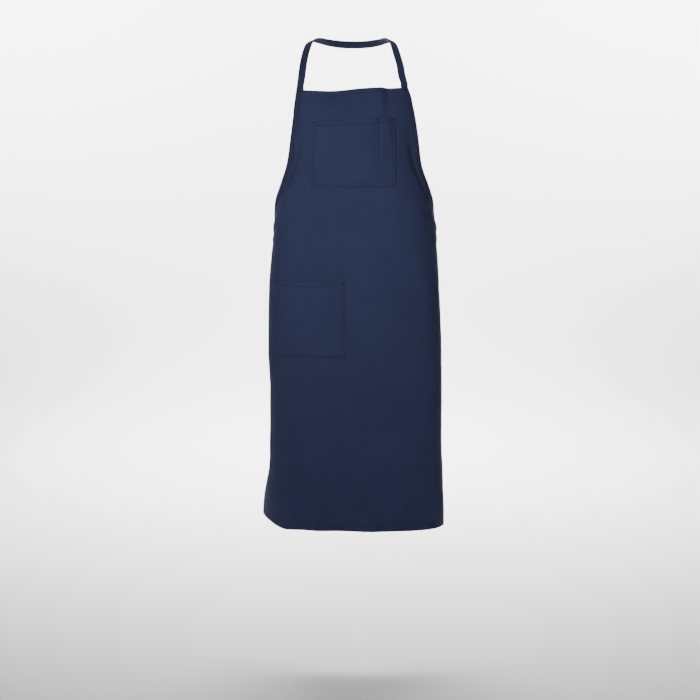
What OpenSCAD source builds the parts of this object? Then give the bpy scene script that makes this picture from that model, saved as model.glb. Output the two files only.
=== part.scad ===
// Bib apron for welding and shop work, in its worn shape.
// Millimetres. Origin: centre of the neck loop. +X is the wearer's left, -Y is the front, +Z is up.
// The cloth is laid out in pattern coordinates: s runs across from the centre line, t runs down from the top of the bib.

/* [Apron body] */
// Finished length, top of the bib to the bottom hem
panel_length = 1067; // [914:1:1180]
// Finished width of the skirt
skirt_width = 610; // [590:1:640]
// Finished width across the top of the bib
bib_width = 276; // [270:1:290]
// Height of the bib, down to the waist corners
bib_height = 345; // [335:1:360]
// Thickness of one layer of cloth
cloth = 0.8; // [0.6:0.1:1.0]
// Width of the armhole binding and of the side and bottom hems
band_w = 15; // [12:1:16]
// Depth of the hem at the top of the bib
bib_hem = 10; // [8:1:12]

/* [Chest pocket] */
// Width of the chest pocket
chest_w = 199; // [190:1:214]
// Height of the chest pocket
chest_h = 159; // [140:1:170]
// Distance from the top of the bib to the mouth of the chest pocket
chest_top = 75; // [60:1:80]
// How far the mouth of the chest pocket stands open
chest_gape = 9; // [5:0.5:12]
// How far the mouth of the pencil slot stands open
pencil_gape = 9; // [5:0.5:10]

/* [Hip pocket] */
// Height of the hip pocket
hip_h = 180; // [160:1:200]
// Distance from the top of the bib to the mouth of the hip pocket
hip_top = 459; // [440:1:490]
// How far the mouth of the hip pocket stands open
hip_gape = 11; // [6:0.5:14]

/* [Tapes] */
// Width of the neck and waist tape
tape_w = 15; // [12:1:18]
// Thickness of the folded tape
tape_t = 1.8; // [1.4:0.1:2.2]
// Length of each hanging tie end
tail_len = 250; // [180:5:300]

/* [Hidden] */

half = cloth / 2;
gap = 0.1;                       // clearance between layers
stitch_w = 0.9;                  // width of a row of thread
stitch_t = 0.35;                 // height of a row of thread
needle = 6.5;                    // spacing of the twin-needle rows
edge_in = 2;                     // first row of thread from an edge
pocket_edge = 10;                // turned-under edge of a pocket
half_skirt = skirt_width / 2;
top_z = -105;                    // height of the bib's top edge
inner = chest_w / 2;             // pattern lines are fixed out to here
hip_in = 22;
hip_out = 195;
slot_a = 51.5;                   // twin rows that divide off the pencil slot
slot_b = 58;
strap_gap = 6;                   // bending gap between the strap and the top of the bib
tie_gap = 3;                     // bending gap between a waist tie and the corner it is sewn to

// Centre line of the worn apron: [distance down, how far forward] and the height that the lean takes up
lean_y = [[0, -112], [60, -129], [140, -140], [230, -142], [345, -140], [430, -140], [520, -141], [650, -142], [900, -139], [1067, -134]];
lean_z = [[0, 0], [60, 2.6], [140, 3.6], [345, 4.2], [1067, 5.4]];
// How far the cloth has turned at the skirt's side edge, in degrees
wrap_deg = [[0, 110], [150, 118], [345, 134], [480, 118], [700, 108], [1067, 100]];
// Share of that turn which is spread evenly, with the rest in a rounded corner at bend_at of the half-width
even = [[0, 0.9], [150, 0.85], [345, 0.75], [520, 0.5], [800, 0.3], [1067, 0.25]];
bend_at = [[0, 0.60], [30, 0.48], [60, 0.40], [100, 0.34], [150, 0.32], [180, 0.34], [210, 0.40], [240, 0.50], [262, 0.57], [300, 0.62],
    [350, 0.67], [500, 0.67], [640, 0.66], [870, 0.66], [1000, 0.685], [1067, 0.685]];

// Smooth curve through a table of [x, value]
function seat(tab, x, i = 0) = i >= len(tab) - 2 || x < tab[i + 1][0] ? i : seat(tab, x, i + 1);
function slope(tab, i) = let (n = len(tab) - 1, a = max(0, i - 1), b = min(n, i + 1))
    (tab[b][1] - tab[a][1]) / (tab[b][0] - tab[a][0]);
function curve(tab, x) = let (i = seat(tab, x), h = tab[i + 1][0] - tab[i][0], u = (x - tab[i][0]) / h)
    (2 * u * u * u - 3 * u * u + 1) * tab[i][1] + (u * u * u - 2 * u * u + u) * h * slope(tab, i)
    + (3 * u * u - 2 * u * u * u) * tab[i + 1][1] + (u * u * u - u * u) * h * slope(tab, i + 1);

// Half-width of the pattern at a distance down from the top: slanted bib, curved armhole, straight skirt
function half_w(t) = t >= bib_height ? half_skirt :
    let (lin = bib_width / 2 + 0.196 * max(0, t), rest = half_skirt - bib_width / 2 - 0.196 * bib_height,
         u = max(0, t - 150) / (bib_height - 150)) lin + rest * pow(u, 2.1);
function half_w_slope(t) = (half_w(t + 0.5) - half_w(t - 0.5));

// Direction of the cloth at s, in degrees from straight across, for a row's [wrap, even, bend_at]
function ease(x) = let (v = min(1, max(0, x))) v * v * (3 - 2 * v);
function shape(t) = [curve(wrap_deg, t), curve(even, t), curve(bend_at, t)];
function turn(s, k) = let (u = abs(s) / 305) k[0] * (k[1] * u * u + (1 - k[1]) * ease((u - k[2] + 0.24) / 0.48));
function sgn(s) = s < 0 ? -1 : 1;
arc_n = 24;
ones = [for (i = [1 : arc_n]) 1];
// Point on the cloth, summed along the row from the centre line, and the direction that it faces
function normal(s, t, k = undef) = let (p = turn(s, k == undef ? shape(t) : k),
    dy = (curve(lean_y, t + 1) - curve(lean_y, t - 1)) / 2, n = [sgn(s) * sin(p), -cos(p), -dy * cos(p)]) n / norm(n);
function on(s, t, n = 0) = let (k = shape(t), a = [for (i = [1 : arc_n]) turn(s * (i - 0.5) / arc_n, k)])
    [s / arc_n * ([for (p = a) cos(p)] * ones), curve(lean_y, t) + abs(s) / arc_n * ([for (p = a) sin(p)] * ones), top_z - t + curve(lean_z, t)]
    + n * normal(s, t, k);

// n equal steps from a up to, but not including, b
function steps(a, b, n) = [for (i = [0 : n - 1]) a + (b - a) * i / n];
rows = concat(steps(0, bib_hem, 1), steps(bib_hem, chest_top, 4), steps(chest_top, chest_top + pocket_edge, 1),
    steps(chest_top + pocket_edge, chest_top + chest_h - pocket_edge, 7), steps(chest_top + chest_h - pocket_edge, chest_top + chest_h, 1),
    steps(chest_top + chest_h, bib_height - 3, 6), steps(bib_height - 3, bib_height, 1), steps(bib_height, bib_height + 14, 1), steps(bib_height + 14, hip_top, 4),
    steps(hip_top, hip_top + pocket_edge, 1), steps(hip_top + pocket_edge, hip_top + hip_h - pocket_edge, 6),
    steps(hip_top + hip_h - pocket_edge, hip_top + hip_h, 1), steps(hip_top + hip_h, panel_length - band_w, 9),
    [panel_length - band_w, panel_length]);
fixed_cols = [0, hip_in, 37, slot_a, slot_b, 69, 80, inner - pocket_edge];
half_cols = concat(fixed_cols, steps(inner, hip_out, 6), steps(hip_out, half_skirt - band_w, 4), [half_skirt - band_w, half_skirt]);
nc = len(half_cols);
cols = [for (i = [-(nc - 1) : nc - 1]) i < 0 ? -half_cols[-i] : half_cols[i]];

// Width of the edge band measured across a row: wider where the armhole edge runs slantwise
function band_s(t) = t > bib_height - 0.01 ? band_w : band_w * sqrt(1 + pow(half_w_slope(t), 2));
// A column's own s at a row: fixed out to the pocket, then spread out to the armhole edge
function at(c, t, cut = 0) = let (a = abs(c), w = half_w(t))
    sgn(c) * (a <= inner ? a : a >= half_skirt - 0.01 ? w - cut
        : inner + (a - inner) * (w - band_s(t) - inner) / (half_skirt - band_w - inner));
function cut_at(t) = t < bib_height - 0.01 ? 1.2 : 0;

// Closed sheet between a front and a back grid of points. Each cell is split along the diagonal that runs down and inward, on both halves
module sheet(f, b) {
    r = len(f); c = len(f[0]); n = r * c;
    function q(i, j) = i * c + j;
    function left(i, j) = f[i][j][0] + f[i][j + 1][0] > 0;
    polyhedron(concat([for (x = f) each x], [for (x = b) each x]), concat(
        [for (i = [0 : r - 2], j = [0 : c - 2]) each left(i, j) ? [[q(i, j), q(i, j + 1), q(i + 1, j)], [q(i, j + 1), q(i + 1, j + 1), q(i + 1, j)]]
            : [[q(i, j), q(i, j + 1), q(i + 1, j + 1)], [q(i, j), q(i + 1, j + 1), q(i + 1, j)]]],
        [for (i = [0 : r - 2], j = [0 : c - 2]) each left(i, j) ? [[n + q(i, j), n + q(i + 1, j), n + q(i, j + 1)], [n + q(i, j + 1), n + q(i + 1, j), n + q(i + 1, j + 1)]]
            : [[n + q(i, j), n + q(i + 1, j + 1), n + q(i, j + 1)], [n + q(i, j), n + q(i + 1, j), n + q(i + 1, j + 1)]]],
        [for (j = [0 : c - 2]) each [[q(0, j), n + q(0, j), n + q(0, j + 1)], [q(0, j), n + q(0, j + 1), q(0, j + 1)]]],
        [for (j = [0 : c - 2], i = [r - 1]) each [[q(i, j), n + q(i, j + 1), n + q(i, j)], [q(i, j), q(i, j + 1), n + q(i, j + 1)]]],
        [for (i = [0 : r - 2]) each [[q(i, 0), q(i + 1, 0), n + q(i + 1, 0)], [q(i, 0), n + q(i + 1, 0), n + q(i, 0)]]],
        [for (i = [0 : r - 2], j = [c - 1]) each [[q(i, j), n + q(i + 1, j), q(i + 1, j)], [q(i, j), n + q(i, j), n + q(i + 1, j)]]]
    ), convexity = 12);
}

// Solid swept through rings of points, with its ends closed by the quads in cap. The faces from ring points in other are split the other way
module sweep(rings, cap, other = []) {
    k = len(rings[0]); m = len(rings);
    function turned(j) = len([for (x = other) if (x == j) 1]) > 0;
    polyhedron([for (r = rings) each r], concat(
        [for (i = [0 : m - 2], j = [0 : k - 1]) let (a = i * k + j, b = i * k + (j + 1) % k)
            each turned(j) ? [[a, a + k, b], [b, a + k, b + k]] : [[a, b + k, b], [a, a + k, b + k]]],
        [for (c = cap) each [[c[0], c[1], c[2]], [c[0], c[2], c[3]]]],
        [for (c = cap, o = [(m - 1) * k]) each [[c[2] + o, c[1] + o, c[0] + o], [c[3] + o, c[2] + o, c[0] + o]]]
    ), convexity = 12);
}

function unit(v) = v / norm(v);
// A ribbon's frame at a point of its path: [position, facing, sideways]
function frame_at(path, faces, i) = let (m = len(path), t = unit(path[min(m - 1, i + 1)] - path[max(0, i - 1)]),
    n = unit(faces[i] - (faces[i] * t) * t)) [path[i], n, cross(t, n)];
// Row of thread on a ribbon, off sideways from its middle and centred up above its middle, from point a to point b
module ribbon_row(path, faces, off, up, a, b) {
    rings = [for (i = [a : b]) let (f = frame_at(path, faces, i), c = f[0] + f[2] * off + f[1] * up, x = f[2] * stitch_w / 2, y = f[1] * stitch_t / 2)
        [c - x - y, c - x + y, c + x + y, c + x - y]];
    sweep(rings, [[0, 1, 2, 3]]);
}
// Flat ribbon along a path, facing along the given normals, w wide and h thick. widths and fronts may change it point by point
module ribbon(path, faces, w, h, widths = [], fronts = []) {
    m = len(path);
    rings = [for (i = [0 : m - 1]) let (q = frame_at(path, faces, i), n = q[1], b = q[2],
        wi = (len(widths) > 0 ? widths[i] : w) / 2, f = len(fronts) > 0 ? fronts[i] : h / 2)
        [path[i] - b * wi - n * h / 2, path[i] - b * wi + n * f, path[i] + b * wi + n * f, path[i] + b * wi - n * h / 2]];
    sweep(rings, [[0, 1, 2, 3]]);
}

// Smooth path through control points, n steps between each pair
function knot_at(p, i) = p[min(len(p) - 1, max(0, i))];
function smooth(p, n) = [for (i = [0 : len(p) - 2], k = [0 : i == len(p) - 2 ? n : n - 1]) let (u = k / n,
    a = knot_at(p, i - 1), b = p[i], c = p[i + 1], d = knot_at(p, i + 2))
    0.5 * (2 * b + (c - a) * u + (2 * a - 5 * b + 4 * c - d) * u * u + (3 * b - a - 3 * c + d) * u * u * u)];
function flipx(p) = [for (q = p) [-q[0], q[1], q[2]]];
function backwards(p) = [for (i = [len(p) - 1 : -1 : 0]) p[i]];

navy = [0.14, 0.17, 0.27];
navy_dark = [0.11, 0.14, 0.23];
thread = [0.10, 0.12, 0.21];

// ---- neck loop: one tape, up from a bib corner, over the shoulder, behind the neck and down to the other corner ----
strap_s = bib_width / 2 - tape_w / 2;
strap_foot = on(strap_s, -strap_gap);
strap_up = on(strap_s, -30);
half_strap = [strap_foot, strap_up, [126, -80, -52], [121, -60, -25], [113, -30, -2], [102, 4, 9],
    [86, 34, 10], [62, 60, 5], [32, 75, 1], [0, 79, 0]];
half_faces = [normal(strap_s, 0), normal(strap_s, 0) + [0, 0, 0.15], [0.10, -0.75, 0.6], [0.12, -0.5, 0.82], [0.2, -0.2, 0.95], [0.35, 0.15, 0.9],
    [0.42, 0.5, 0.72], [0.35, 0.78, 0.5], [0.16, 0.95, 0.28], [0, 0.97, 0.22]];
strap_right = smooth(half_strap, 3);
strap_path = concat(strap_right, [for (p = backwards(flipx(strap_right))) if (p[0] < -0.01) p]);
faces_right = smooth(half_faces, 3);
faces_left = backwards(flipx(faces_right));
strap_faces = concat(faces_right, [for (i = [1 : len(faces_left) - 1]) faces_left[i]]);

module neck_strap() { color(navy) ribbon(strap_path, strap_faces, tape_w, tape_t); }

// Edge seam that closes the folded tape, on its outer face
module neck_strap_stitching() {
    color(thread) ribbon_row(strap_path, strap_faces, tape_w / 2 - edge_in, tape_t / 2 + stitch_t / 2 + 0.3, 1, len(strap_path) - 2);
}

// ---- body cloth and its hems ----
module body_panel() {
    color(navy) sheet([for (t = rows) [for (c = cols) on(at(c, t, cut_at(t)), t, half)]],
        [for (t = rows) [for (c = cols) on(at(c, t, cut_at(t)), t, -half)]]);
}

// Strip on the inside of the cloth, between columns c0..c1 and rows t0..t1
module inside_strip(c0, c1, t0, t1) {
    cc = [for (c = cols) if (c >= c0 - 0.01 && c <= c1 + 0.01) c];
    tt = [for (t = rows) if (t >= t0 - 0.01 && t <= t1 + 0.01) t];
    sheet([for (t = tt) [for (c = cc) on(at(c, t), t, -half - gap)]], [for (t = tt) [for (c = cc) on(at(c, t), t, -half - gap - 2 * cloth)]]);
}
module bib_top_hem() { color(navy_dark) inside_strip(-(half_skirt - band_w) , half_skirt - band_w, 0, bib_hem); }
module side_hem(side) { color(navy_dark) inside_strip(side > 0 ? half_skirt - band_w : -half_skirt, side > 0 ? half_skirt : -(half_skirt - band_w), bib_height + 14, panel_length - band_w); }
module bottom_hem() { color(navy_dark) inside_strip(-half_skirt, half_skirt, panel_length - band_w, panel_length); }

// Binding folded round the armhole edge, on the same rows as the body cloth
edge_t = [for (t = rows) if (t < bib_height - 1) t];
edge_f = half + 0.4;
edge_b = half + 0.5;
function edge_ring(t, side) = let (w = side * half_w(t), i = side * (half_w(t) - band_s(t)), c = side * (half_w(t) - 0.5))
    [on(i, t, edge_f + cloth), on(w, t, edge_f + cloth), on(w, t, -edge_b - cloth), on(i, t, -edge_b - cloth),
     on(i, t, -edge_b), on(c, t, -edge_b), on(c, t, edge_f), on(i, t, edge_f)];
module armhole_binding(side) {
    rings = [for (t = edge_t) edge_ring(t, side)];
    color(navy_dark) sweep([for (r = rings) side > 0 ? backwards(r) : r], [[0, 1, 6, 7], [1, 2, 5, 6], [2, 3, 4, 5]], side > 0 ? [0, 1, 3, 4, 5, 7] : [0, 4]);
}

// ---- pockets ----
function arch(u) = u <= 0 || u >= 1 ? 0 : pow(sin(180 * u), 0.8);
function fall(t, t0, t1) = t >= t1 ? 0 : pow(1 - (t - t0) / (t1 - t0), 1.3);
chest_bottom = chest_top + chest_h;
hip_bottom = hip_top + hip_h;
// How far the pocket cloth stands off the body cloth: two compartments on the chest, one on the hip
function chest_off(s, t) = s <= slot_a ? chest_gape * arch((s + inner - pocket_edge) / (slot_a + inner - pocket_edge)) * fall(t, chest_top, chest_bottom - pocket_edge)
    : s >= slot_b ? pencil_gape * arch((s - slot_b) / (inner - pocket_edge - slot_b)) * fall(t, chest_top, slot_turn) : 0;
function hip_off(s, t) = hip_gape * arch((-s - hip_in - pocket_edge) / (hip_out - hip_in - 2 * pocket_edge)) * fall(t, hip_top, hip_bottom - pocket_edge);
base = half + gap + cloth + gap;   // underside of the pocket's outer layer where it is sewn down
chest_cols = [for (c = cols) if (abs(c) <= inner + 0.01) c];
hip_cols = concat([-hip_out, -hip_out + pocket_edge], [for (c = cols) if (c > -hip_out + pocket_edge + 1 && c < -hip_in - pocket_edge - 1) c], [-hip_in - pocket_edge, -hip_in]);
function between(a, b) = [for (t = rows) if (t >= a - 0.01 && t <= b + 0.01) t];

module chest_pocket() {
    tt = between(chest_top, chest_bottom); e = inner - pocket_edge + 0.01;
    color(navy) sheet([for (t = tt) [for (c = chest_cols) on(c, t, base + cloth + chest_off(c, t))]],
        [for (t = tt) [for (c = chest_cols) on(c, t, abs(c) > e || t > chest_bottom - pocket_edge + 0.01 ? half + gap : base + chest_off(c, t))]]);
}
module chest_pocket_mouth_hem() {
    cc = [for (c = chest_cols) if (abs(c) < inner - pocket_edge - 0.01) c];
    tt = [chest_top, chest_top + pocket_edge];
    color(navy_dark) sheet([for (t = tt) [for (c = cc) on(c, t, base - gap + chest_off(c, t))]],
        [for (t = tt) [for (c = cc) on(c, t, half + gap + chest_off(c, t))]]);
}
module hip_pocket() {
    tt = between(hip_top, hip_bottom); a = hip_in + pocket_edge - 0.01; b = hip_out - pocket_edge + 0.01;
    color(navy) sheet([for (t = tt) [for (c = hip_cols) on(c, t, base + cloth + hip_off(c, t))]],
        [for (t = tt) [for (c = hip_cols) on(c, t, -c < a || -c > b || t > hip_bottom - pocket_edge + 0.01 ? half + gap : base + hip_off(c, t))]]);
}
module hip_pocket_mouth_hem() {
    cc = [for (c = hip_cols) if (-c > hip_in + pocket_edge + 1 && -c < hip_out - pocket_edge - 1) c];
    tt = [hip_top, hip_top + pocket_edge];
    color(navy_dark) sheet([for (t = tt) [for (c = cc) on(c, t, base - gap + hip_off(c, t))]],
        [for (t = tt) [for (c = cc) on(c, t, half + gap + hip_off(c, t))]]);
}

// ---- thread ----
// A row of thread through pattern points [s, t], lying at height n on the cloth
module thread_row(st, n) {
    ribbon([for (p = st) on(p[0], p[1], n + stitch_t / 2)], [for (p = st) normal(p[0], p[1])], stitch_w, stitch_t);
}
on_pocket = base + cloth + 0.12;
// U-shaped row round three sides of a pocket, i in from its edge
function u_row(s0, s1, t0, t1, i, cc) = concat([for (t = rows) if (t > t0 + 1 && t < t1 - i - 2) [s0 + i, t]], [[s0 + i, t1 - i]],
    [for (c = cc) if (c > s0 + i + 3 && c < s1 - i - 3) [c, t1 - i]], [[s1 - i, t1 - i]],
    [for (t = backwards(rows)) if (t > t0 + 1 && t < t1 - i - 2) [s1 - i, t]]);
module chest_pocket_stitching() {
    color(thread) {
        for (i = [edge_in, edge_in + needle]) thread_row(u_row(-inner, inner, chest_top, chest_bottom, i, chest_cols), on_pocket);
        for (r = [[-inner + pocket_edge, slot_a - 2], [slot_b + 2, inner - pocket_edge]])
            ribbon([for (c = chest_cols) if (c > r[0] + 1 && c < r[1] - 1) on(c, chest_top + pocket_edge, on_pocket + stitch_t / 2 + chest_off(c, chest_top + pocket_edge))],
                [for (c = chest_cols) if (c > r[0] + 1 && c < r[1] - 1) normal(c, chest_top + pocket_edge)], stitch_w, stitch_t);
    }
}
// Twin rows that divide off the pencil slot: straight down, then rounding out to the pocket's side
slot_turn = chest_top + 0.6 * chest_h;
module pencil_slot_stitching() {
    color(thread) for (r = [[slot_a, 0], [slot_b, needle]]) let (e = inner - edge_in - needle - 2, d = chest_bottom - edge_in - needle - 4 - slot_turn)
        thread_row(concat([for (t = rows) if (t > chest_top + 1 && t < slot_turn - 2) [r[0], t]],
            [for (a = [0 : 9 : 81]) [e - (e - r[0]) * cos(a), slot_turn + (d - r[1]) * sin(a)]], [[e, slot_turn + d - r[1]]]), on_pocket + 0.3);
}
module hip_pocket_stitching() {
    color(thread) {
        for (i = [edge_in, edge_in + needle]) thread_row(u_row(-hip_out, -hip_in, hip_top, hip_bottom, i, hip_cols), on_pocket);
        ribbon([for (c = hip_cols) if (c > -hip_out + pocket_edge + 2 && c < -hip_in - pocket_edge - 2) on(c, hip_top + pocket_edge, on_pocket + stitch_t / 2 + hip_off(c, hip_top + pocket_edge))],
            [for (c = hip_cols) if (c > -hip_out + pocket_edge + 2 && c < -hip_in - pocket_edge - 2) normal(c, hip_top + pocket_edge)], stitch_w, stitch_t);
    }
}
// Rows along the inner edge of the bib top, side and bottom hems
module hem_stitching() {
    h = half + 0.12;
    color(thread) {
        thread_row([for (c = cols) if (abs(c) < half_skirt - band_w - 1) [at(c, bib_hem), bib_hem]], h);
        for (side = [-1, 1]) thread_row([for (t = rows) if (t > bib_height + 18 && t < panel_length - band_w - 1) [side * (half_skirt - band_w), t]], h);
        thread_row([for (c = cols) if (abs(c) < half_skirt - 1) [c, panel_length - band_w]], h);
    }
}
module binding_stitching(side) {
    k = edge_in / band_w; n = edge_f + cloth + 0.35;
    tt = [for (t = edge_t) if (t > 8) t]; m = len(tt) - 1;
    function inn(i) = on(side * (half_w(tt[i]) - band_s(tt[i])), tt[i], n);
    function out(i) = on(side * half_w(tt[i]), tt[i], n);
    function face(i) = normal(side * (half_w(tt[i]) - band_s(tt[i])), tt[i]);
    color(thread) ribbon(concat([inn(0) * (1 - k) + out(0) * k],
            [for (i = [1 : m]) each [inn(i) * (1 - k) + out(i - 1) * k, inn(i) * (1 - k) + out(i) * k]]),
        concat([face(0)], [for (i = [1 : m]) each [face(i), face(i)]]), stitch_w, stitch_t);
}
// Short dense tack across a seam end, centred on pattern point [s, t]
module bartack(s, t, n, len, across_s) {
    ribbon(across_s ? [on(s - len / 2, t, n), on(s + len / 2, t, n)] : [on(s, t - len / 2, n), on(s, t + len / 2, n)],
        [normal(s, t), normal(s, t)], 2, 0.6);
}
module pocket_bartacks() {
    n = on_pocket + stitch_t + 0.6;
    color(thread) {
        for (s = [-inner + 5, inner - 5]) bartack(s, chest_top + 2, n, 9, true);
        bartack((slot_a + slot_b) / 2, chest_top + 2, n, 7.6, true);
        for (s = [-hip_out + 5, -hip_in - 5]) bartack(s, hip_top + 2, n, 9, true);
    }
}
module strap_bartacks() {
    n = edge_f + cloth + 0.45;
    color(thread) for (side = [-1, 1]) bartack(side * strap_s, 4, n, 11, true);
}

// ---- waist ties, tied in a bow at the back ----
corner = on(half_skirt, bib_height);
waist_z = corner[2];
tie_out = [cos(turn(half_skirt, shape(bib_height))), sin(turn(half_skirt, shape(bib_height))), 0];
tie_half = [corner + tie_out * tie_gap, corner + tie_out * (tie_gap + 8), [150, 39, waist_z], [134, 52, waist_z + 1], [114, 64, waist_z + 2],
    [90, 75, waist_z + 3], [64, 83, waist_z + 4], [38, 87.5, waist_z + 5], [13, 89, waist_z + 5]];
tie_dir = [[0.72, 0.69, 0], [0.71, 0.70, 0], [0.66, 0.75, 0], [0.58, 0.81, 0], [0.48, 0.88, 0], [0.36, 0.93, 0], [0.22, 0.98, 0], [0.1, 1, 0], [0.02, 1, 0]];
module waist_tie(side) {
    p = smooth(tie_half, 2); f = smooth(tie_dir, 2);
    w = [for (i = [0 : len(p) - 1]) min(tape_w, 5 + i * 5)];
    color(navy) if (side > 0) ribbon(p, f, tape_w, tape_t, w); else ribbon(flipx(p), flipx(f), tape_w, tape_t, w);
}
knot_c = [0, 91, waist_z + 5];
// The knot: tape wrapped once round the crossing
module waist_knot() {
    color(navy_dark) translate(knot_c) rotate([90, 0, 0]) translate([0, 0, -9])
        linear_extrude(height = 12) offset(r = 5) square([13.5, 9], center = true);
}
// A bow loop: the tape runs out, turns back on itself and returns to the knot
loop_out = [[12.5, 98, 0], [30, 103, -2], [52, 106, -7], [72, 106, -14], [86, 103.5, -20], [91, 99, -23], [86, 95, -22],
    [70, 93.4, -16], [50, 93, -9], [30, 92.7, -4], [12.5, 92.5, -1]];
loop_face = [[-0.1, 1, 0], [-0.15, 1, 0], [-0.05, 1, 0], [0.1, 1, 0], [0.6, 0.8, 0], [1, 0.02, 0], [0.6, -0.8, 0],
    [0.02, -1, 0], [0, -1, 0], [0, -1, 0], [0, -1, 0]];
module bow_loop(side) {
    p = smooth([for (q = loop_out) q + [0, 0, waist_z + 5]], 2); f = smooth(loop_face, 2);
    color(navy) if (side > 0) ribbon(p, f, tape_w - 1, 1.4); else ribbon(flipx(p), flipx(f), tape_w - 1, 1.4);
}
// A hanging end, with its tip folded over and sewn
tail_top = knot_c + [0, 4, -13];
module tie_end(side) {
    k = tail_len / 250 * (side > 0 ? 1 : 0.93);
    p = smooth([for (q = [[5.5, 0, 0], [11, 2, -22 * k], [19, 3, -60 * k], [25, 3, -110 * k], [28, 2, -170 * k], [29, 1, -250 * k]])
        tail_top + [side * q[0], q[1], q[2]]], 3);
    m = len(p) - 1;
    fold = p[m] + unit(p[m - 1] - p[m]) * 14;
    q = concat([for (i = [0 : m - 1]) if (norm(p[i] - p[m]) > 16) p[i]], [fold + unit(p[m - 1] - p[m]) * 1, fold, p[m]]);
    k2 = len(q) - 1;
    color(navy) ribbon(q, [for (x = q) [0, 1, 0.04]], tape_w, 1.5, [for (i = [0 : k2]) min(tape_w, 9.5 + i * 1.2)],
        [for (i = [0 : k2]) i < k2 - 1 ? 0.75 : 2.1]);
}

neck_strap();
neck_strap_stitching();
body_panel();
bib_top_hem();
armhole_binding(1);  // armhole_binding_left
armhole_binding(-1);  // armhole_binding_right
side_hem(1);  // side_hem_left
side_hem(-1);  // side_hem_right
bottom_hem();
chest_pocket();
chest_pocket_mouth_hem();
hip_pocket();
hip_pocket_mouth_hem();
chest_pocket_stitching();
pencil_slot_stitching();
hip_pocket_stitching();
hem_stitching();
binding_stitching(1);  // binding_stitching_left
binding_stitching(-1);  // binding_stitching_right
pocket_bartacks();
strap_bartacks();
waist_tie(1);  // waist_tie_left
waist_tie(-1);  // waist_tie_right
waist_knot();
bow_loop(1);  // bow_loop_left
bow_loop(-1);  // bow_loop_right
tie_end(1);  // tie_end_left
tie_end(-1);  // tie_end_right
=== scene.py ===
import math
import bpy
import numpy as np
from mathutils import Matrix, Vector


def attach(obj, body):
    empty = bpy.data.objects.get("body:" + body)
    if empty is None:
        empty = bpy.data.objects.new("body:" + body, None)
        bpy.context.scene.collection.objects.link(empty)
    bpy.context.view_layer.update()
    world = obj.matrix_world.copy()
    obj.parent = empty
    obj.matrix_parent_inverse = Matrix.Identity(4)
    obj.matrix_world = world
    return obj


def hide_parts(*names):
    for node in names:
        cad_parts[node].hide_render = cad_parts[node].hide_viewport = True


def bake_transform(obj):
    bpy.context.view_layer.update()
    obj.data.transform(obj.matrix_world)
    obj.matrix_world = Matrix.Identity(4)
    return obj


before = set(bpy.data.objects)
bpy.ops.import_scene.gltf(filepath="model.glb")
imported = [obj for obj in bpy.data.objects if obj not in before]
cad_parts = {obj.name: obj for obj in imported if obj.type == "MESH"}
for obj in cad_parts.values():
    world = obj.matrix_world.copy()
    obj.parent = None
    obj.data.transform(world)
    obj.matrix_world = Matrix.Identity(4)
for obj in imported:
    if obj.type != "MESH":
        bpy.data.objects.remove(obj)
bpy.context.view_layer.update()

# ------------------------------------------------------------------ camera
cam_data = bpy.data.cameras.new("camera")
cam_data.lens = 87.29
cam_data.sensor_width = 36.0
cam = bpy.data.objects.new("camera", cam_data)
bpy.context.scene.collection.objects.link(cam)
cam.location = (-0.0095, -4.135, -0.100)
cam.rotation_euler = (math.radians(90 - 8.83), 0, 0)
bpy.context.scene.camera = cam

# ------------------------------------------------------------------ pattern of the apron, in millimetres
BIB, SKIRT, LENGTH, WAIST = 276.0, 610.0, 1067.0, 345.0
HALF = SKIRT / 2
BAND, BIB_HEM = 15.0, 10.0
CH_IN, CH_TOP, CH_BOT = 99.5, 75.0, 234.0
SLOT_A, SLOT_B = 51.5, 58.0
HP_IN, HP_OUT, HP_TOP, HP_BOT = 22.0, 195.0, 459.0, 639.0
CLOTH = 0.62
TOP_Z = -105.0
lean_y = [[0, -112], [60, -129], [140, -140], [230, -142], [345, -140], [430, -140], [520, -141], [650, -142], [900, -139], [1067, -134]]
lean_z = [[0, 0], [60, 2.6], [140, 3.6], [345, 4.2], [1067, 5.4]]
wrap_deg = [[0, 110], [150, 118], [345, 134], [480, 118], [700, 108], [1067, 100]]
even = [[0, 0.9], [150, 0.85], [345, 0.75], [520, 0.5], [800, 0.3], [1067, 0.25]]
bend_at = [[0, 0.60], [30, 0.48], [60, 0.40], [100, 0.34], [150, 0.32], [180, 0.34], [210, 0.40], [240, 0.50], [262, 0.57], [300, 0.62],
           [350, 0.67], [500, 0.67], [640, 0.66], [870, 0.66], [1000, 0.685], [1067, 0.685]]


def curve(tab, x):
    """Smooth curve through a table of [x, value], as part.scad has it."""
    tab = np.array(tab, float)
    x = np.asarray(x, float)
    n = len(tab) - 1
    i = np.clip(np.searchsorted(tab[:, 0], x, side="right") - 1, 0, n - 1)
    m = np.array([(tab[min(n, k + 1), 1] - tab[max(0, k - 1), 1]) / (tab[min(n, k + 1), 0] - tab[max(0, k - 1), 0]) for k in range(n + 1)])
    h = tab[i + 1, 0] - tab[i, 0]
    u = (x - tab[i, 0]) / h
    return ((2 * u**3 - 3 * u**2 + 1) * tab[i, 1] + (u**3 - 2 * u**2 + u) * h * m[i]
            + (3 * u**2 - 2 * u**3) * tab[i + 1, 1] + (u**3 - u**2) * h * m[i + 1])


def half_w(t):
    t = np.asarray(t, float)
    lin = BIB / 2 + 0.196 * np.maximum(0, t)
    rest = HALF - BIB / 2 - 0.196 * WAIST
    return np.where(t >= WAIST, HALF, lin + rest * np.power(np.maximum(0, t - 150) / (WAIST - 150), 2.1))


def half_w_slope(t):
    return half_w(np.asarray(t, float) + 0.5) - half_w(np.asarray(t, float) - 0.5)


def sstep(x):
    v = np.clip(x, 0, 1)
    return v * v * (3 - 2 * v)


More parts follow.
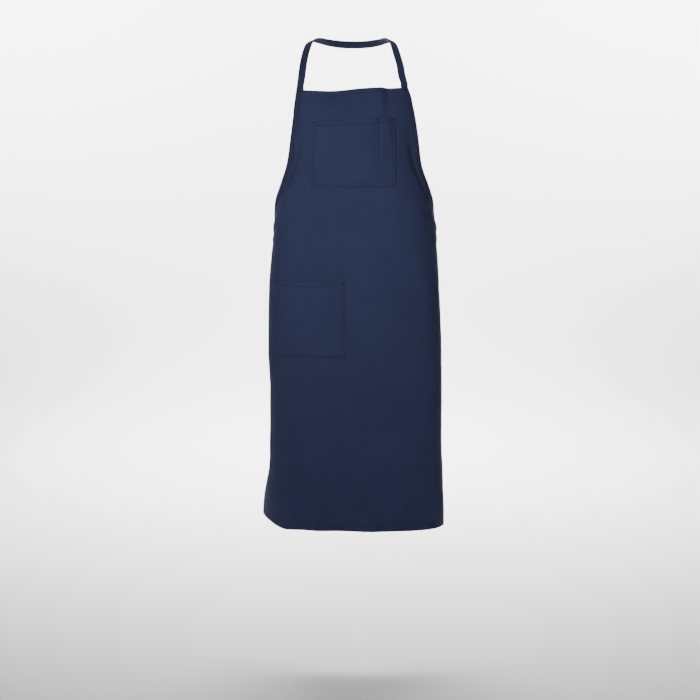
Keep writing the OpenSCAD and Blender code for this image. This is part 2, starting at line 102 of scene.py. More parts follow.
# The cloth's base shape: for every row a section, summed from the centre line. Tabulated once, then read by interpolation.
T0, T1, NT, NS = -45.0, 1085.0, 1131, 660
tt = np.linspace(T0, T1, NT)
ss = np.linspace(0, 330, NS + 1)
mid = (ss[1:] + ss[:-1]) / 2
fe = curve(wrap_deg, np.clip(tt, 0, LENGTH))
ev = curve(even, np.clip(tt, 0, LENGTH))
be = curve(bend_at, np.clip(tt, 0, LENGTH))
u_ = mid[None, :] / 305
ph = np.radians(fe[:, None] * (ev[:, None] * u_**2 + (1 - ev[:, None]) * sstep((u_ - be[:, None] + 0.24) / 0.48)))
X = np.concatenate([np.zeros((NT, 1)), np.cumsum(np.cos(ph), 1) * (ss[1] - ss[0])], 1)
Y = np.concatenate([np.zeros((NT, 1)), np.cumsum(np.sin(ph), 1) * (ss[1] - ss[0])], 1)
CY = curve(lean_y, tt)
CZ = TOP_Z - tt + curve(lean_z, tt)


def bil(A, s, t):
    fi = np.clip((t - T0) / (T1 - T0) * (NT - 1), 0, NT - 1.001)
    fj = np.clip(np.abs(s) / 330 * NS, 0, NS - 0.001)
    i, j = fi.astype(int), fj.astype(int)
    a, b = fi - i, fj - j
    return (A[i, j] * (1 - a) * (1 - b) + A[i + 1, j] * a * (1 - b) + A[i, j + 1] * (1 - a) * b + A[i + 1, j + 1] * a * b)


def lin(A, t):
    return np.interp(t, tt, A)


def base_n(s, t):
    """Unit normal of the base shape, facing out."""
    e = 0.8
    ds = base(s + e, t) - base(s - e, t)
    dt = base(s, t + e) - base(s, t - e)
    n = np.cross(dt, ds)
    return n / np.linalg.norm(n, axis=-1, keepdims=True)


def base(s, t):
    s, t = np.broadcast_arrays(np.asarray(s, float), np.asarray(t, float))
    x = np.sign(s) * bil(X, s, t)
    y = lin(CY, t) + bil(Y, s, t)
    z = lin(CZ, t)
    return np.stack([x, y, z], -1)


def vnoise(x, y, seed):
    """Smooth value noise, -1..1, repeatable."""
    x, y = np.broadcast_arrays(np.asarray(x, float), np.asarray(y, float))
    g = np.random.RandomState(seed).rand(64, 64) * 2 - 1
    xi, yi = np.floor(x).astype(int), np.floor(y).astype(int)
    fx, fy = x - xi, y - yi
    fx, fy = fx * fx * (3 - 2 * fx), fy * fy * (3 - 2 * fy)
    a, b = g[xi % 64, yi % 64], g[(xi + 1) % 64, yi % 64]
    c, d = g[xi % 64, (yi + 1) % 64], g[(xi + 1) % 64, (yi + 1) % 64]
    return (a * (1 - fx) + b * fx) * (1 - fy) + (c * (1 - fx) + d * fx) * fy


def bump(x, c, w):
    return np.exp(-((x - c) / w) ** 2)


def seg(s, t, a, b, w):
    """Soft ridge along the segment a-b in pattern space, w wide, fading at its ends."""
    a, b = np.array(a, float), np.array(b, float)
    d = b - a
    L = np.linalg.norm(d)
    d = d / L
    px, py = s - a[0], t - a[1]
    k = (px * d[0] + py * d[1]) / L
    off = px * -d[1] + py * d[0]
    return np.exp(-(off / w) ** 2) * sstep(np.minimum(k, 1 - k) * 4 + 0.15) * (k > -0.04) * (k < 1.04)


def ledge(s, t, a, b, rise, drop):
    """A small fold lying over itself along a-b: a slow rise towards the line, then a short drop beyond it."""
    a, b = np.array(a, float), np.array(b, float)
    d = b - a
    L = np.linalg.norm(d)
    d = d / L
    px, py = s - a[0], t - a[1]
    k = (px * d[0] + py * d[1]) / L
    off = px * -d[1] + py * d[0]
    return np.where(off < 0, np.exp(off / rise), np.exp(-(off / drop) ** 2)) * sstep(np.minimum(k, 1 - k) * 3.5 + 0.1) * (k > -0.03) * (k < 1.03)


def drape(s, t):
    """How far the worn cloth stands out from the base shape: soft folds, the bib's loose top edge, creases, puckers at seams."""
    s, t = np.broadcast_arrays(np.asarray(s, float), np.asarray(t, float))
    d = np.zeros_like(s)
    H = half_w(t)
    # broad, long folds down the skirt
    low = sstep((t - 380) / 500)
    d += low * (3.2 * np.cos((s + 30) / 41.0 + 0.15 * np.sin(t / 170)) * sstep((np.abs(s) - 60) / 130) + 2.0 * vnoise(s / 62, t / 340, 3))
    d += 1.2 * vnoise(s / 75 + 7, t / 150, 5) * sstep((t - 60) / 120)
    # a fold line down the left of the skirt and one down the right
    d += -4.2 * bump(s, -128 + 0.012 * (t - 700), 24) * sstep((t - 640) / 260) + 2.8 * bump(s, -168, 30) * sstep((t - 700) / 250)
    d += -2.6 * bump(s, 166, 26) * sstep((t - 560) / 260)
    # loose bib top: the edge rolls a little, with a soft fold towards its right end
    top = 1 - sstep(t / 130)
    d += top * (2.6 * np.sin((s + 138) / 92 * np.pi + 0.35) + 1.0 * np.sin((s - 20) / 31))
    d += -6.0 * sstep((s - 64 + 0.04 * t) / 20) * (1 - sstep((s - 82) / 48)) * (1 - sstep((t - 10) / 95)) + 2.0 * bump(s, 58, 12) * (1 - sstep((t - 8) / 85))
    # creases: two short diagonal ones at the left of the bib, one at the right corner
    d += 3.4 * ledge(s, t, (-90, 37), (-42, 14), 9.0, 1.8) - 1.0 * seg(s, t, (-86, 42), (-44, 21), 2.6)
    d += 1.8 * ledge(s, t, (-54, 17), (-26, 20), 6.0, 1.8)
    d += -0.9 * seg(s, t, (119, 8), (108, 27), 2.6) + 0.5 * seg(s, t, (126, 14), (113, 34), 3.5)
    # drag lines from the waist corners and below the armholes
    for sg in (-1, 1):
        for k, (a, b, w, h) in enumerate([((150, 255), (235, 335), 9, 1.4), ((168, 300), (262, 348), 8, 1.5), ((180, 372), (286, 350), 10, 1.3), ((140, 210), (190, 290), 8, 0.9)]):
            m = 1 if sg > 0 else (0.8, 1.1, 0.9, 1.2)[k]
            d += h * m * seg(s * sg, t, a, b, w) - 0.8 * h * m * seg(s * sg, t, (a[0] + 3, a[1] + 17), (b[0] + 2, b[1] + 14), w)
    # a hollow along each armhole, just inside the binding
    along = sstep((t - 100) / 50) * (1 - sstep((t - 245) / 50))
    d += -np.where(s > 0, 4.4, 3.6) * np.exp(-((H - np.abs(s) - 25) / 11) ** 2) * along
    # fine, shallow unevenness of hung cotton
    d += 0.22 * vnoise(s / 17, t / 23, 11) + 0.13 * vnoise(s / 8 + 3, t / 10, 13)
    # puckers along the seams that run down the cloth, and along the hems
    def pucker(dist, along, wid, amp, seed):
        return amp * np.exp(-(dist / wid) ** 2) * vnoise(along / 5.2, dist / 9 + 31 * seed, 20 + seed)
    inch = (t > CH_TOP - 6) & (t < CH_BOT + 8)
    for c in (-CH_IN + 5, CH_IN - 5, 54.7):
        d += pucker(s - c, t, 9, 0.34, 1) * inch
    ind = (np.abs(s) < CH_IN + 8)
    d += pucker(t - CH_BOT + 5, s, 9, 0.34, 2) * ind
    inh = (t > HP_TOP - 6) & (t < HP_BOT + 8)
    for c in (-HP_OUT + 5, -HP_IN - 5):
        d += pucker(s - c, t, 9, 0.34, 3) * inh
    d += pucker(t - HP_BOT + 5, s, 9, 0.34, 4) * ((s > -HP_OUT - 8) & (s < -HP_IN + 8))
    edge = H - np.abs(s)
    d += pucker(edge - 13, t, 9, 0.42, 5)
    d += pucker(LENGTH - t - 13, s, 10, 0.5, 6)
    d += pucker(t - BIB_HEM, s, 7, 0.30, 7)
    return d


def slide(s, t):
    """How the edges are shifted in the cloth's own plane, mm: [across, down]. The bib's top edge waves, and the hem hangs unevenly."""
    s, t = np.broadcast_arrays(np.asarray(s, float), np.asarray(t, float))
    top = 1 - sstep(t / 150)
    # measured from the straight edge: higher towards the right, a shallow dip at the left
    up = np.interp(s, [-138, -112, -82, -62, -40, -14, 8, 30, 60, 92, 118, 138], [-3.5, -5.6, -6.6, -6.6, -5.2, -2.2, 0.2, 1.3, 1.5, 0.9, 1.6, 2.6])
    # the chest pocket was sewn on slightly askew, its right side higher
    dt = -up * top - 0.024 * s * sstep((t - 30) / 45) * (1 - sstep((t - 130) / 160))
    low = sstep((t - 820) / 247)
    dt = dt + low * (1.6 * np.sin(s / 58.0 + 0.5) + 0.8 * np.sin(s / 23.0))
    return np.zeros_like(s), dt


SWAY_R = [[-45, -9.0], [0, -9.0], [12, -6.5], [24, -4.4], [53, -3.0], [82, -1.3], [115, 0], [185, 0.5], [225, 2.5], [260, 1.5], [300, 1.5], [335, 5.0], [400, 3.5],
          [480, 1.5], [560, 2.5], [602, 4.0], [718, 6.0], [863, 3.4], [920, 3.0], [978, 0], [1085, 0.8]]
SWAY_L = [[-45, 1.5], [60, 1.5], [150, 0], [215, -2.5], [260, -1.0], [330, 0], [640, 0], [718, 5.5], [863, 6.2], [930, 8.0], [990, 6.5], [1085, 2.0]]


def flare(p, s, t):
    """The worn cloth is not quite even: each side sways a little, and the hem's left corner turns back and up."""
    p = p.copy()
    right, left = np.array(SWAY_R, float), np.array(SWAY_L, float)
    reach = np.where(t < 200, 60.0, 110.0)
    p[..., 0] += np.interp(t, right[:, 0], right[:, 1]) * sstep((s - reach) / 55) + np.interp(t, left[:, 0], left[:, 1]) * sstep((-s - reach) / 55)
    k = sstep((t - 900) / 160) * sstep((-s - 165) / 95)
    p[..., 0] -= 7.0 * k
    p[..., 1] += 46.0 * k
    p[..., 2] += 20.0 * k
    return p


def surf(s, t, n=0.0):
    """Point on the worn cloth, n off its outer face, and the normal there."""
    s, t = np.broadcast_arrays(np.asarray(s, float), np.asarray(t, float))
    def q(a, b):
        _, dt = slide(a, b)
        bb = b + dt
        return flare(base(a, bb) + base_n(a, bb) * drape(a, b)[..., None], a, b)
    p = q(s, t)
    e = 1.0
    ds = q(s + e, t) - q(s - e, t)
    dd = q(s, t + e) - q(s, t - e)
    nn = np.cross(dd, ds)
    nn = nn / np.linalg.norm(nn, axis=-1, keepdims=True)
    return p + nn * np.asarray(n, float)[..., None] if np.ndim(n) else p + nn * n, nn


# ------------------------------------------------------------------ mesh building
MM = 0.001


def make(name, verts, faces, uv=None, flat=None):
    """Mesh object from millimetre points. flat marks faces that stay flat-shaded, such as a sheet's cut rim."""
    me = bpy.data.meshes.new(name)
    me.from_pydata((np.asarray(verts, float) * MM).tolist(), [], [tuple(int(i) for i in f) for f in faces])
    smooth = np.ones(len(me.polygons), bool)
    if flat is not None:
        smooth[np.asarray(flat, int)] = False
    me.polygons.foreach_set("use_smooth", smooth)
    if uv is not None:
        layer = me.uv_layers.new(name="pattern")
        idx = np.zeros(len(me.loops), int)
        me.loops.foreach_get("vertex_index", idx)
        layer.data.foreach_set("uv", (np.asarray(uv, float)[idx] * MM).astype(np.float32).ravel())
    me.update()
    o = bpy.data.objects.new(name, me)
    bpy.context.scene.collection.objects.link(o)
    return o


def sheet_mesh(name, S, T, top, bottom):
    """Closed sheet between two offsets of the cloth's surface. S, T are (rows, columns) arrays, top and bottom numbers or arrays."""
    R, C = S.shape
    a, _ = surf(S, T, top + np.zeros_like(S))
    b, _ = surf(S, T, bottom + np.zeros_like(S))
    v = np.concatenate([a.reshape(-1, 3), b.reshape(-1, 3)])
    uv = np.stack([S.ravel(), T.ravel()], 1)
    uv = np.concatenate([uv, uv])
    n = R * C
    q = np.arange(n).reshape(R, C)
    f1 = np.stack([q[:-1, :-1], q[1:, :-1], q[1:, 1:], q[:-1, 1:]], -1).reshape(-1, 4)
    f2 = f1[:, ::-1] + n
    rim = []
    loop = np.concatenate([q[0, :], q[1:, -1], q[-1, -2::-1], q[-2:0:-1, 0]])
    nx = np.roll(loop, -1)
    rim = np.stack([loop, nx, nx + n, loop + n], -1)
    faces = np.concatenate([f1, f2, rim])
    flat = np.arange(len(f1) * 2, len(faces))
    return make(name, v, faces, uv, flat)


def tube_mesh(name, rings, uv=None, closed=False, smooth_caps=False):
    """Closed solid through rings of points, (rings, points, 3)."""
    rings = np.asarray(rings, float)
    M, K, _ = rings.shape
    q = np.arange(M * K).reshape(M, K)
    a = q if closed else q[:-1]
    b = np.roll(q, -1, 0) if closed else q[1:]
    f = np.stack([a, np.roll(a, -1, 1), np.roll(b, -1, 1), b], -1).reshape(-1, 4).tolist()
    flat = None
    if not closed:
        flat = [len(f), len(f) + 1]
        f += [q[0, ::-1].tolist(), q[-1].tolist()]
    return make(name, rings.reshape(-1, 3), f, None if uv is None else np.asarray(uv, float).reshape(-1, 2), flat)


def fix_out(o):
    """Turns a closed mesh's faces outward."""
    import bmesh
    bm = bmesh.new()
    bm.from_mesh(o.data)
    bmesh.ops.recalc_face_normals(bm, faces=bm.faces)
    bm.to_mesh(o.data)
    bm.free()
    return o


def edge_strip(name, s_of, t_of, ks, profile):
    """Folded edge: a profile of (distance in from the edge, height) swept along the edge. s_of and t_of give the pattern point for (k, distance)."""
    d = np.array([p[0] for p in profile], float)
    n = np.array([p[1] for p in profile], float)
    K, D = np.meshgrid(ks, d, indexing="ij")
    S, T = s_of(K, D), t_of(K, D)
    N = np.broadcast_to(n, S.shape)
    p, _ = surf(S, T, N)
    return fix_out(tube_mesh(name, p, np.stack([S, T], -1)))


def lines(marks, lo, hi, step):
    """Grid lines from lo to hi: about step apart, closer together near each mark."""
    out = [lo]
    x = lo
    while x < hi - 1e-6:
        near = min([abs(x - m) for m in marks] or [1e9])
        h = step
        if near < 3.5:
            h = 0.9
        elif near < 9:
            h = 1.8
        x = x + h
        out.append(min(x, hi))
    if hi - out[-2] < 0.35:
        out.pop(-2)
    return np.array(out)


# ------------------------------------------------------------------ materials, all procedural
def nodes_of(mat):
    mat.use_nodes = True
    return mat.node_tree.nodes, mat.node_tree.links


def cloth_material(name, colour, rough, weave=1.0, pitch=0.00075, sheen=0.25, vary=0.10, across=1.0):
    """Cotton twill: fine diagonal ribs laid in pattern space, faint slubs and unevenness."""
    mat = bpy.data.materials.new(name)
    nd, lk = nodes_of(mat)
    bsdf = nd["Principled BSDF"]
    bsdf.inputs["Roughness"].default_value = rough
    bsdf.inputs["Sheen Weight"].default_value = sheen
    bsdf.inputs["Sheen Roughness"].default_value = 0.55
    bsdf.inputs["Sheen Tint"].default_value = (0.55, 0.62, 0.85, 1)
    bsdf.inputs["Specular IOR Level"].default_value = 0.16
    uv = nd.new("ShaderNodeUVMap")
    uv.uv_map = "pattern"
    sep = nd.new("ShaderNodeSeparateXYZ")
    lk.new(uv.outputs[0], sep.inputs[0])

    def math_(op, a, b=None, c=None):
        m = nd.new("ShaderNodeMath")
        m.operation = op
        for i, x in enumerate((a, b, c)):
            if x is None:
                continue
            if isinstance(x, (int, float)):
                m.inputs[i].default_value = x
            else:
                lk.new(x, m.inputs[i])
        return m.outputs[0]

    k = 2 * math.pi / pitch
    diag = math_("ADD", math_("MULTIPLY", sep.outputs[0], k * across), math_("MULTIPLY", sep.outputs[1], k * 0.9))
    rib = math_("MULTIPLY_ADD", math_("SINE", diag), 0.5, 0.5)
    yarn = math_("MULTIPLY_ADD", math_("SINE", math_("MULTIPLY", sep.outputs[1], k * 1.9)), 0.5, 0.5)
    weave_h = math_("ADD", math_("MULTIPLY", rib, 0.7), math_("MULTIPLY", yarn, 0.3))
    tc = nd.new("ShaderNodeTexCoord")
    big = nd.new("ShaderNodeTexNoise")
    big.inputs["Scale"].default_value = 9.0
    big.inputs["Detail"].default_value = 3.0
    lk.new(tc.outputs["Object"], big.inputs["Vector"])
    slub = nd.new("ShaderNodeTexNoise")
    slub.inputs["Scale"].default_value = 1.0
    slub.inputs["Detail"].default_value = 2.0
    mp = nd.new("ShaderNodeMapping")
    mp.inputs["Scale"].default_value = (90, 900, 1)
    lk.new(uv.outputs[0], mp.inputs["Vector"])
    lk.new(mp.outputs[0], slub.inputs["Vector"])
    fine = nd.new("ShaderNodeTexNoise")
    fine.inputs["Scale"].default_value = 420.0
    fine.inputs["Detail"].default_value = 2.0
    lk.new(uv.outputs[0], fine.inputs["Vector"])
    # colour: the cloth's own navy, uneven over the piece, with a painted highlight on the rib tops taken from the weave
    # height
    fac = math_("ADD", math_("MULTIPLY", big.outputs[0], 0.45), math_("ADD", math_("MULTIPLY", slub.outputs[0], 0.22), math_("ADD", math_("MULTIPLY", weave_h, 0.18), math_("MULTIPLY", fine.outputs[0], 0.15))))
    ramp = nd.new("ShaderNodeValToRGB")
    ramp.color_ramp.elements[0].position = 0.30
    ramp.color_ramp.elements[1].position = 0.72
    lo_, hi_ = [c * (1 - vary) for c in colour], [c * (1 + vary) for c in colour]
    ramp.color_ramp.elements[0].color = (*lo_, 1)
    ramp.color_ramp.elements[1].color = (*hi_, 1)
    lk.new(fac, ramp.inputs[0])
    lk.new(ramp.outputs[0], bsdf.inputs["Base Color"])
    b1 = nd.new("ShaderNodeBump")
    b1.inputs["Strength"].default_value = 0.35 * weave
    b1.inputs["Distance"].default_value = 0.00010
    lk.new(weave_h, b1.inputs["Height"])
    b2 = nd.new("ShaderNodeBump")
    b2.inputs["Strength"].default_value = 0.5
    b2.inputs["Distance"].default_value = 0.00016
    lk.new(fine.outputs[0], b2.inputs["Height"])
    lk.new(b1.outputs[0], b2.inputs["Normal"])
    lk.new(b2.outputs[0], bsdf.inputs["Normal"])
    return mat


NAVY = (0.0205, 0.0255, 0.0660)
m_panel = cloth_material("apron_cotton", NAVY, 0.88, sheen=0.03)
m_pocket = cloth_material("pocket_cotton", NAVY, 0.88, sheen=0.03)
m_tape = cloth_material("binding_tape", (0.0205, 0.0225, 0.0530), 0.84, weave=1.2, pitch=0.0009, across=0.0, sheen=0.04)
# thread: its own navy, made darker than the cloth so the seam rows also carry painted seam shade
m_thread = bpy.data.materials.new("navy_thread_painted_seam_shade")
_n, _l = nodes_of(m_thread)
_b = _n["Principled BSDF"]
_b.inputs["Base Color"].default_value = (0.0085, 0.0105, 0.0270, 1)
_b.inputs["Roughness"].default_value = 0.85
_b.inputs["Specular IOR Level"].default_value = 0.15
_w = _n.new("ShaderNodeTexWave")
_w.inputs["Scale"].default_value = 900.0
_w.bands_direction = "DIAGONAL"
_t = _n.new("ShaderNodeTexCoord")
_l.new(_t.outputs["Object"], _w.inputs["Vector"])
_bp = _n.new("ShaderNodeBump")
_bp.inputs["Strength"].default_value = 0.5
_bp.inputs["Distance"].default_value = 0.0001
_l.new(_w.outputs["Fac"], _bp.inputs["Height"])
_l.new(_bp.outputs[0], _b.inputs["Normal"])


def dress(o, mat, body, slot, *nodes):
    o.data.materials.clear()
    o.data.materials.append(mat)
    if body:
        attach(o, body)
    if nodes:
        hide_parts(*nodes)
    return o


# ------------------------------------------------------------------ body cloth
h0 = CLOTH / 2
marks_s = [-HP_OUT + 2, -HP_OUT + 8.5, -CH_IN + 2, -CH_IN + 8.5, -HP_IN - 8.5, -HP_IN - 2, SLOT_A, SLOT_B, CH_IN - 8.5, CH_IN - 2]
marks_t = [BIB_HEM, CH_TOP, CH_BOT - 8.5, CH_BOT - 2, HP_TOP, HP_BOT - 8.5, HP_BOT - 2, LENGTH - 13, LENGTH]
inner_cols = lines([m for m in marks_s if abs(m) < 110], -102.0, 102.0, 3.0)
out_cols = np.concatenate([[c for c in np.linspace(102, HALF - BAND - 3, 40)[1:] if abs(c - HP_OUT - 0.5) > 4], [HP_OUT - 2.4, HP_OUT - 0.8, HP_OUT + 0.3, HP_OUT + 1.2, HP_OUT + 2.3, HP_OUT + 3.8], [HALF - BAND - 1.2, HALF - BAND, HALF - BAND + 1.2, HALF - 9, HALF - 5, HALF - 2, HALF - 0.4]])
out_cols = np.sort(out_cols)
cols = np.concatenate([-out_cols[::-1], inner_cols, out_cols])
rows = np.concatenate([lines(marks_t, 0.0, 70.0, 2.0), lines(marks_t, 70.0, LENGTH - 0.4, 4.5)[1:]])


def band_s(t):
    return np.where(t > WAIST - 0.01, BAND, BAND * np.sqrt(1 + half_w_slope(t) ** 2))


def spread(c, t):
    """A grid column's own s at a row: fixed over the pockets, fanned out to the edge in the bib."""
    a, w, b = np.abs(c), half_w(t), band_s(t)
    inside = 102 + (a - 102) * (w - b - 102) / (HALF - BAND - 102)
    edge = w - (HALF - a) * b / BAND
    return np.sign(c) * np.where(a <= 102, a, np.where(a <= HALF - BAND, inside, edge))


T_, C_ = np.meshgrid(rows, cols, indexing="ij")
S_ = spread(C_, T_)


def groove(s, t):
    """Pull of the stitch rows on the body cloth."""
    g = np.zeros_like(s)
    def row(x, on):
        return -0.22 * np.exp(-(x / 0.8) ** 2) * on
    for c in (HALF - 13.0,):
        g = g + row(half_w(t) - np.abs(s) - 13.0, t > WAIST + 8)
    g = g + 2 * row(t - BIB_HEM, np.abs(s) < half_w(t) - 15)
    # the cloth dips a little all round a pocket's sewn edge
    chest_d = np.maximum(np.abs(s) - CH_IN, t - CH_BOT)
    hip_d = np.maximum(np.maximum(-HP_OUT - s, s + HP_IN), t - HP_BOT)
    g = g - 0.55 * np.exp(-((chest_d - 1.0) / 1.5) ** 2) * sstep((t - CH_TOP + 4) / 6)
    g = g - 0.55 * np.exp(-((hip_d - 1.0) / 1.5) ** 2) * sstep((t - HP_TOP + 4) / 6)
    g = g + row(t - (LENGTH - 13), 1.0)
    return g


G_ = groove(S_, T_)
panel = sheet_mesh("body_panel_cloth", S_, T_, h0 + G_, -h0 + G_)
dress(panel, m_panel, "apron_panel", "panel_cloth", "body_panel")

# hems: each a folded edge that wraps the cloth's rim, seen as a rounded fold from the front and a turned strip from behind
hem_profile = lambda w: [(w, -h0 - 0.06), (w - 0.2, -h0 - 1.0), (w - 1.4, -h0 - 1.22), (w - 2.4, -h0 - 1.0), (w - 3.6, -h0 - 1.22), (w * 0.5, -h0 - 1.42), (3.0, -h0 - 1.36), (1.0, -h0 - 1.12),
                         (-0.15, -h0 - 0.62), (-0.45, -h0 - 0.1), (-0.38, h0 * 0.5), (0.0, h0 + 0.10), (0.9, h0 + 0.13), (2.0, h0 + 0.02), (2.0, 0.0), (0.6, 0.0), (0.3, -h0 - 0.06)]
ks_side = np.arange(WAIST + 2, LENGTH - 2, 3.0)
for side, tag in ((1, "left"), (-1, "right")):
    o = edge_strip(f"side_hem_{tag}_fold", lambda K, D: side * (HALF - D), lambda K, D: K, np.append(ks_side, LENGTH - 0.6), hem_profile(BAND))
    dress(o, m_panel, "apron_panel", "panel_cloth", f"side_hem_{tag}")
o = edge_strip("bottom_hem_fold", lambda K, D: K, lambda K, D: LENGTH - D, np.linspace(-HALF + 0.5, HALF - 0.5, 230), hem_profile(BAND))
dress(o, m_panel, "apron_panel", "panel_cloth", "bottom_hem")
o = edge_strip("bib_top_hem_fold", lambda K, D: K, lambda K, D: D, np.linspace(-BIB / 2 + 2.5, BIB / 2 - 2.5, 120), hem_profile(BIB_HEM + 2))
dress(o, m_panel, "apron_panel", "panel_cloth", "bib_top_hem")

# armhole bindings: tape folded over the edge, measured square to it
bind_profile = [(15.6, h0 + 0.10), (15.5, h0 + 0.72), (14.8, h0 + 1.15), (13.1, h0 + 0.55), (11.6, h0 + 1.15), (8.0, h0 + 1.22), (4.0, h0 + 1.2), (1.5, h0 + 0.98), (0.1, h0 + 0.5), (-0.6, 0.0),
                (0.1, -h0 - 0.5), (1.5, -h0 - 0.98), (4.0, -h0 - 1.2), (8.0, -h0 - 1.2), (11.8, -h0 - 0.95), (13.0, -h0 - 0.62), (14.4, -h0 - 0.9), (15.2, -h0 - 0.55), (15.3, -h0 - 0.1), (7.0, -h0 - 0.05), (1.0, -0.2), (1.0, 0.2), (7.0, h0 + 0.05)]


def arm_s(side):
    def f(K, D):
        h = half_w_slope(np.clip(K, 0, WAIST - 1))
        return side * (half_w(np.clip(K, -3, WAIST - 0.02)) + np.minimum(0, K) * 0.0 - D / np.sqrt(1 + h * h))
    return f


def arm_t(K, D):
    h = half_w_slope(np.clip(K, 0, WAIST - 1))
    return K + D * h / np.sqrt(1 + h * h)


ks_arm = np.concatenate([np.arange(-1.5, 20, 1.5), np.arange(20, WAIST - 2, 2.5), [WAIST - 1.5]])
for side, tag in ((1, "left"), (-1, "right")):
    o = edge_strip(f"armhole_binding_{tag}_tape", arm_s(side), arm_t, ks_arm, bind_profile)
    dress(o, m_tape, "apron_panel", "twill_tape", f"armhole_binding_{tag}")


# ------------------------------------------------------------------ pockets
def gape_main(s, t, a, b, top, bot, amount):
    u = np.clip((s - a) / (b - a), 0, 1)
    return amount * np.power(np.sin(np.pi * u), 0.8) * np.power(np.clip(1 - (t - top) / (bot - top), 0, 1), 1.3)


SLOT_TURN = CH_TOP + 0.6 * (CH_BOT - CH_TOP)


def slot_line(off, n=40):
    """The pencil slot's divider row in pattern space, off further in: straight down, then round to the pocket's side."""
    e = CH_IN - 10.5
    s0 = SLOT_A + off
    d = CH_BOT - 12.5 - SLOT_TURN - off
    straight = [(s0, t) for t in np.arange(CH_TOP + 1.2, SLOT_TURN, 3.0)]
    arc = [(e - (e - s0) * math.cos(a), SLOT_TURN + d * math.sin(a)) for a in np.linspace(0, math.pi / 2, n)]
    return np.array(straight + arc + [(CH_IN - 3.0, SLOT_TURN + d)])


def dist_to(path, s, t):
    """Distance from pattern points to a polyline."""
    best = np.full(s.shape, 1e9)
    for a, b in zip(path[:-1], path[1:]):
        d = b - a
        k = np.clip(((s - a[0]) * d[0] + (t - a[1]) * d[1]) / (d @ d + 1e-12), 0, 1)
        best = np.minimum(best, np.hypot(s - a[0] - k * d[0], t - a[1] - k * d[1]))
    return best


def seam(u, g1=2.0, g2=8.5):
    """Height of a turned-under pocket edge by distance in from it: rounded rim, two sewn-down rows, full folds between and beyond."""
    rim = 1.45 * sstep(u / 1.1 + 0.35)
    rows_ = -0.85 * np.exp(-((u - g1) / 1.1) ** 2) - 0.85 * np.exp(-((u - g2) / 1.1) ** 2)
    fold = 0.42 * np.exp(-((u - 5.2) / 1.7) ** 2)
    step = -0.42 * sstep((u - 10) / 1.6)
    return rim + rows_ + fold + step


def chest_top_face(s, t):
    u = np.minimum(CH_IN - np.abs(s), CH_BOT - t)
    n = h0 + 0.06 + seam(u)
    inn = sstep((u - 9) / 5)
    d1, d2 = dist_to(slot_line(0), s, t), dist_to(slot_line(6.5), s, t)
    n = n - 0.95 * (np.exp(-(d1 / 1.15) ** 2) + np.exp(-(d2 / 1.15) ** 2)) * inn + 0.3 * np.exp(-(((d1 + d2) - 6.5) / 2.0) ** 2) * inn
    g = gape_main(s, t, -CH_IN + 10, SLOT_A - 1, CH_TOP, CH_BOT - 10, 5.0) * (s < SLOT_A)
    g = g + gape_main(s, t, SLOT_B + 1, CH_IN - 10, CH_TOP, SLOT_TURN, 4.2) * (s > SLOT_B)
    n = n + 0.25 * inn + g * inn
    n = n + 0.20 * vnoise(s / 21, t / 26, 41) * inn
    n = n - 0.85 * np.exp(-((t - CH_TOP - 9.5) / 1.2) ** 2) * inn
    n = n + 0.30 * np.exp(-((t - CH_TOP - 5) / 3.5) ** 2) * inn
    return n


def hip_top_face(s, t):
    u = np.minimum(np.minimum(-HP_IN - s, s + HP_OUT), HP_BOT - t)
    n = h0 + 0.06 + seam(u)
    inn = sstep((u - 9) / 5)
    n = n + (0.25 + gape_main(s, t, -HP_OUT + 10, -HP_IN - 10, HP_TOP, HP_BOT - 10, 6.0)) * inn
    n = n + 0.25 * vnoise(s / 24, t / 30, 43) * inn
    n = n - 0.75 * np.exp(-((t - HP_TOP - 10) / 1.1) ** 2) * inn
    n = n + 0.30 * np.exp(-((t - HP_TOP - 5) / 3.5) ** 2) * inn
    return n


def pocket(name, s0, s1, t0, t1, face, marks_s_, marks_t_, node):
    c = lines(marks_s_, s0, s1, 3.6)
    r = lines(marks_t_, t0, t1, 3.6)
    T, S = np.meshgrid(r, c, indexing="ij")
    n = face(S, T)
    u = np.minimum(np.minimum(S - s0, s1 - S), t1 - T)
    under = np.where(u < 10.5, h0 + 0.04, np.maximum(h0 + 0.04, n - CLOTH))
    o = sheet_mesh(name, S, T, n, under)
    return dress(o, m_pocket, "apron_panel", "pocket_cloth", node)


chest = pocket("chest_pocket_cloth", -CH_IN, CH_IN, CH_TOP, CH_BOT, chest_top_face,
               [-CH_IN, -CH_IN + 2, -CH_IN + 8.5, SLOT_A, SLOT_B, CH_IN - 8.5, CH_IN - 2, CH_IN], [CH_TOP, CH_TOP + 10, CH_BOT - 8.5, CH_BOT - 2, CH_BOT], "chest_pocket")
hip = pocket("hip_pocket_cloth", -HP_OUT, -HP_IN, HP_TOP, HP_BOT, hip_top_face,
             [-HP_OUT, -HP_OUT + 2, -HP_OUT + 8.5, -HP_IN - 8.5, -HP_IN - 2, -HP_IN], [HP_TOP, HP_TOP + 10, HP_BOT - 8.5, HP_BOT - 2, HP_BOT], "hip_pocket")


